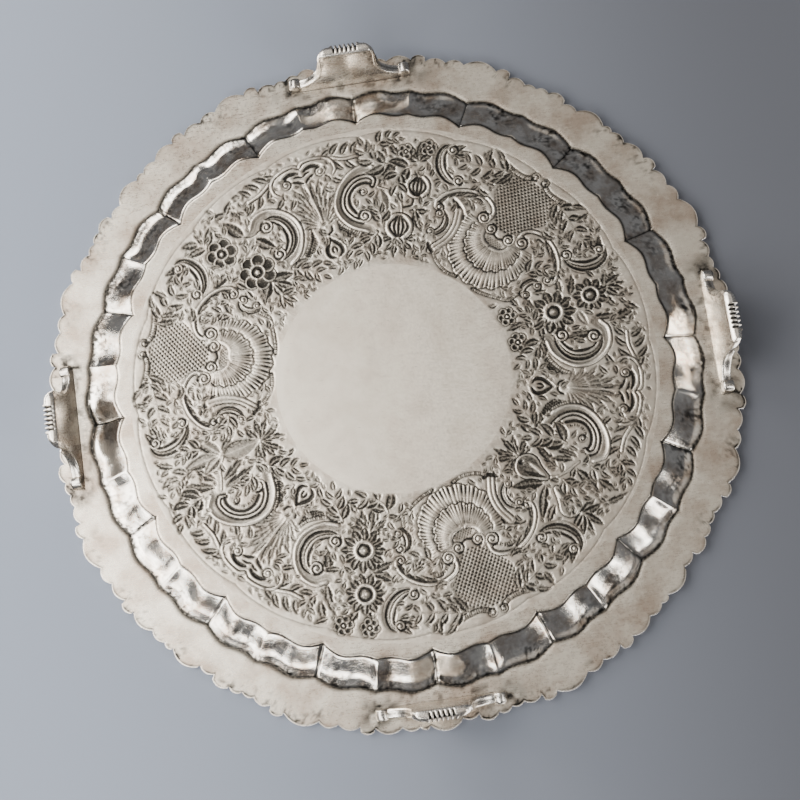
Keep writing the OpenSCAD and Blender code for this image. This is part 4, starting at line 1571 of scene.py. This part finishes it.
def flute_groove(x, y):
    """Narrow grooves between the flutes: 1 in a groove, else 0, faded past the fan and at its hinge."""
    k, spread = flute_fan(x, y)
    beside = k - 0.5 * (FLUTES % 2) - np.round(k - 0.5 * (FLUTES % 2))
    fade = np.clip((FLUTES / 2 - 0.3 - np.abs(k)) * 6, 0, 1) * np.clip((spread - 0.5) * 4, 0, 1)
    return bell(beside * FLUTE_W, GROOVE_W) * fade


def flute_back(x, y):
    """Rounded backs of the flutes on the outer face: 1 on a back, 0 between two and past the fan."""
    k, spread = flute_fan(x, y)
    back = np.sqrt(np.abs(np.cos(np.pi * (k + 0.5 * (FLUTES + 1)))))
    return back * np.clip((FLUTES / 2 - np.abs(k)) * 3, 0, 1) * np.clip((spread - 0.38) * 5, 0, 1)


print(f"{FLUTES} flutes, {FLUTE_W:.1f} mm wide at the sole")

# %% Foot body
LIP_ROLL = 2.1
LIP_GROW = 5.0
FLUTE_RISE = 1.3
SIDE_POINTS = 171


def foot_loop():
    """Stations round the body: down the inner face, over the lip, and up the outer face."""
    corner = CORNER_Y + (CREST_R - LIP_ROLL) * np.sin(np.linspace(0.08, 1, 16) * np.pi / 2)
    y = np.concatenate([np.linspace(-0.6, STRIP_H - 0.3, 8), STRIP_H + SWEEP_R * np.linspace(0, 1, 22) ** 2,
                        np.linspace(SWEEP_C[1] + 0.6, CORNER_Y, 8), corner])
    lip = np.linspace(0, 1, 15)[1:-1]
    loop_y = np.concatenate([y, np.full(len(lip), y[-1]), y[::-1], y[:1]])
    loop_z = np.concatenate([np.zeros(len(y)), lip, np.ones(len(y)), [0]])
    return loop_y, loop_z


def foot_body():
    """Grid of the body in its own plane: x along the flange, y down, z outwards, and its tarnish.

    The web thickens towards the sole as a power of the way down, less the grooves and with the flute
    backs outside; its edges are rounded, and a bead runs along the edge of the inner face.
    """
    loop_y, loop_z = foot_loop()
    side = np.sin(np.linspace(-1, 1, SIDE_POINTS) * np.pi / 2)
    y, xi = np.meshgrid(loop_y, side, indexing="ij")
    share = np.repeat(loop_z[:, None], len(side), 1)
    half = foot_half_width(y)
    x = xi * half
    groove = flute_groove(x, y)
    rise = np.clip((y - STRIP_H - 6) / (SOLE_Y - STRIP_H - 6), 0, 1)
    thick = WEB_T + rise ** 1.4 * (LIP_GROW - 1.8 * groove) + FLUTE_RISE * flute_back(x, y) * share ** 4
    edge = np.sqrt(np.clip(1 - np.abs(xi) ** 10, 0, 1))
    inset = np.minimum((1 - np.abs(xi)) * half, loop_y.max() - y)
    bead = bell(inset - 0.9, 0.8) * (share == 0) * (y > STRIP_H + 1)
    z = WEB_T / 2 + (share * thick - WEB_T / 2) * edge - 0.5 * bead
    over = np.clip((share - 0.12) * 8, 0, 1) * np.clip((y - SOLE_Y + 12) / 12, 0, 1)
    roll = LIP_ROLL * np.sin(np.pi * share) * ((share > 0) & (share < 1))
    y = y + (roll - 1.6 * groove * over) * edge
    slot = groove * np.clip(5 * share - 0.4, 0, 1) * np.clip((rise - 0.25) * 2.5, 0, 1)
    pits = spots(x, y, 2.1, 21, 0.45, 3) * bell(inset - 3.2, 2.2) * (share == 0) * (rise > 0)
    dark = np.clip(1.1 * slot + 0.75 * pits + 0.7 * bell(y - 0.3, 1.2), 0, 1)
    return np.stack([x, y, z], -1), dark


body = foot_body()
print("body of", body[1].size, "points")

# %% Ribbons and scrolls
RIBBON_W = 7.0
RIBBON_T = 2.4


def foot_ribbon(side):
    """Ribbon along one sweep: a rounded section swept round the arc, thin at its ends."""
    t, v = np.meshgrid(np.linspace(0, 1, 56), np.linspace(0, 2 * np.pi, 25), indexing="ij")
    arc = np.radians(270 - 92 * t)
    full = np.clip(np.sin(np.pi * np.clip(t, 0.02, 0.98)) * 3, 0.35, 1)
    square = lambda w: np.sign(w) * np.abs(w) ** 0.5
    rho = SWEEP_R + RIBBON_T / 2 + RIBBON_T / 2 * square(np.cos(v))
    z = RIBBON_W / 2 + RIBBON_W / 2 * square(np.sin(v)) * full + 0.4 * np.cos(v) ** 2
    groove = bell(z - RIBBON_W / 2, 0.9) * (np.cos(v) < 0)
    rho = rho + 0.5 * groove
    x = side * (SWEEP_C[0] + rho * np.cos(arc))
    return np.stack([x, SWEEP_C[1] + rho * np.sin(arc), z], -1), np.clip(0.8 * groove, 0, 1)


def foot_scroll(side):
    """Rolled end of a ribbon: a drum whose face is a spiral that climbs to an eye."""
    rho, v = np.meshgrid(np.concatenate([np.linspace(0, 1, 26), np.ones(8), [0.5, 0]]),
                         np.linspace(0, 2 * np.pi, 49), indexing="ij")
    drop = np.concatenate([np.zeros(26), np.linspace(0.12, 1, 8), [1, 1]])[:, None]
    coil = np.mod(rho * 2.2 - side * v / (2 * np.pi), 1)
    face = RIBBON_W + 1.1 * (1 - rho ** 2) + 0.7 * np.abs(np.sin(np.pi * coil)) * (rho > 0.22)
    z = face * (1 - drop)
    radius = VOLUTE_R * rho * (1 + 0.06 * np.sin(np.pi * drop))
    x = side * (FOOT_L / 2 - VOLUTE_R) + radius * np.cos(v)
    dark = np.where(drop > 0, 0.25, bell(np.minimum(coil, 1 - coil), 0.16) * (rho > 0.3) * 0.95)
    return np.stack([x, STRIP_H - VOLUTE_R / 2 + radius * np.sin(v), z], -1), dark


ribbons, scrolls = [[part(side) for side in (-1, 1)] for part in (foot_ribbon, foot_scroll)]
print("two ribbons and two scrolls for each foot")

# %% Joining and sealing
WELD = 1e-6
SLIVER = 1e-7


def join_grids(grids):
    """One set of points, quads and tarnish from several grids, flipped where a grid says so."""
    points, quads, dark, start = [], [], [], 0
    for grid, shade, flip in grids:
        rows, cols = shade.shape
        points.append(grid.reshape(-1, 3))
        dark.append(shade.ravel())
        quads.append(grid_quads(rows, cols, start, flip))
        start += rows * cols
    return np.concatenate(points), np.concatenate(quads), np.concatenate(dark)


def sealed(mesh):
    """Welds points that coincide, closes the ends that are still open and turns all faces outwards."""
    shell = bmesh.new()
    shell.from_mesh(mesh)
    bmesh.ops.remove_doubles(shell, verts=shell.verts, dist=WELD)
    bmesh.ops.dissolve_degenerate(shell, edges=shell.edges, dist=SLIVER)
    bmesh.ops.holes_fill(shell, edges=[edge for edge in shell.edges if edge.is_boundary], sides=0)
    bmesh.ops.recalc_face_normals(shell, faces=shell.faces)
    print(f"{mesh.name}: {sum(not edge.is_manifold for edge in shell.edges)} open edges")
    shell.to_mesh(mesh)
    shell.free()
    return mesh


print("points closer than", WELD * 1000, "mm are welded")

# %% Four feet
def foot_place(points, index):
    """From a foot's own plane to the salver: lean outwards, cut at flange and sole, turn to its axis."""
    x, y, z = np.moveaxis(points, -1, 0)
    out = FOOT_R + y * math.sin(lean) + z * math.cos(lean)
    height = np.clip(FLANGE_Z - y * math.cos(lean) + z * math.sin(lean), 0.0, FLANGE_Z)
    a = math.radians(360 / FEET * index - 90)
    return np.stack([x * math.cos(a) - out * math.sin(a), x * math.sin(a) + out * math.cos(a), height], -1)


for index in range(FEET):
    grids = [(foot_place(body[0], index), body[1], False)]
    grids += [(foot_place(g, index), d, side > 0) for (g, d), side in zip(ribbons, (-1, 1))]
    grids += [(foot_place(g, index), d, True) for g, d in scrolls]
    name = f"foot_casting_{index + 1}"
    mesh = sealed(make_mesh(name, *join_grids(grids)))
    place(name, mesh, f"foot_{index + 1}", cast_silver)
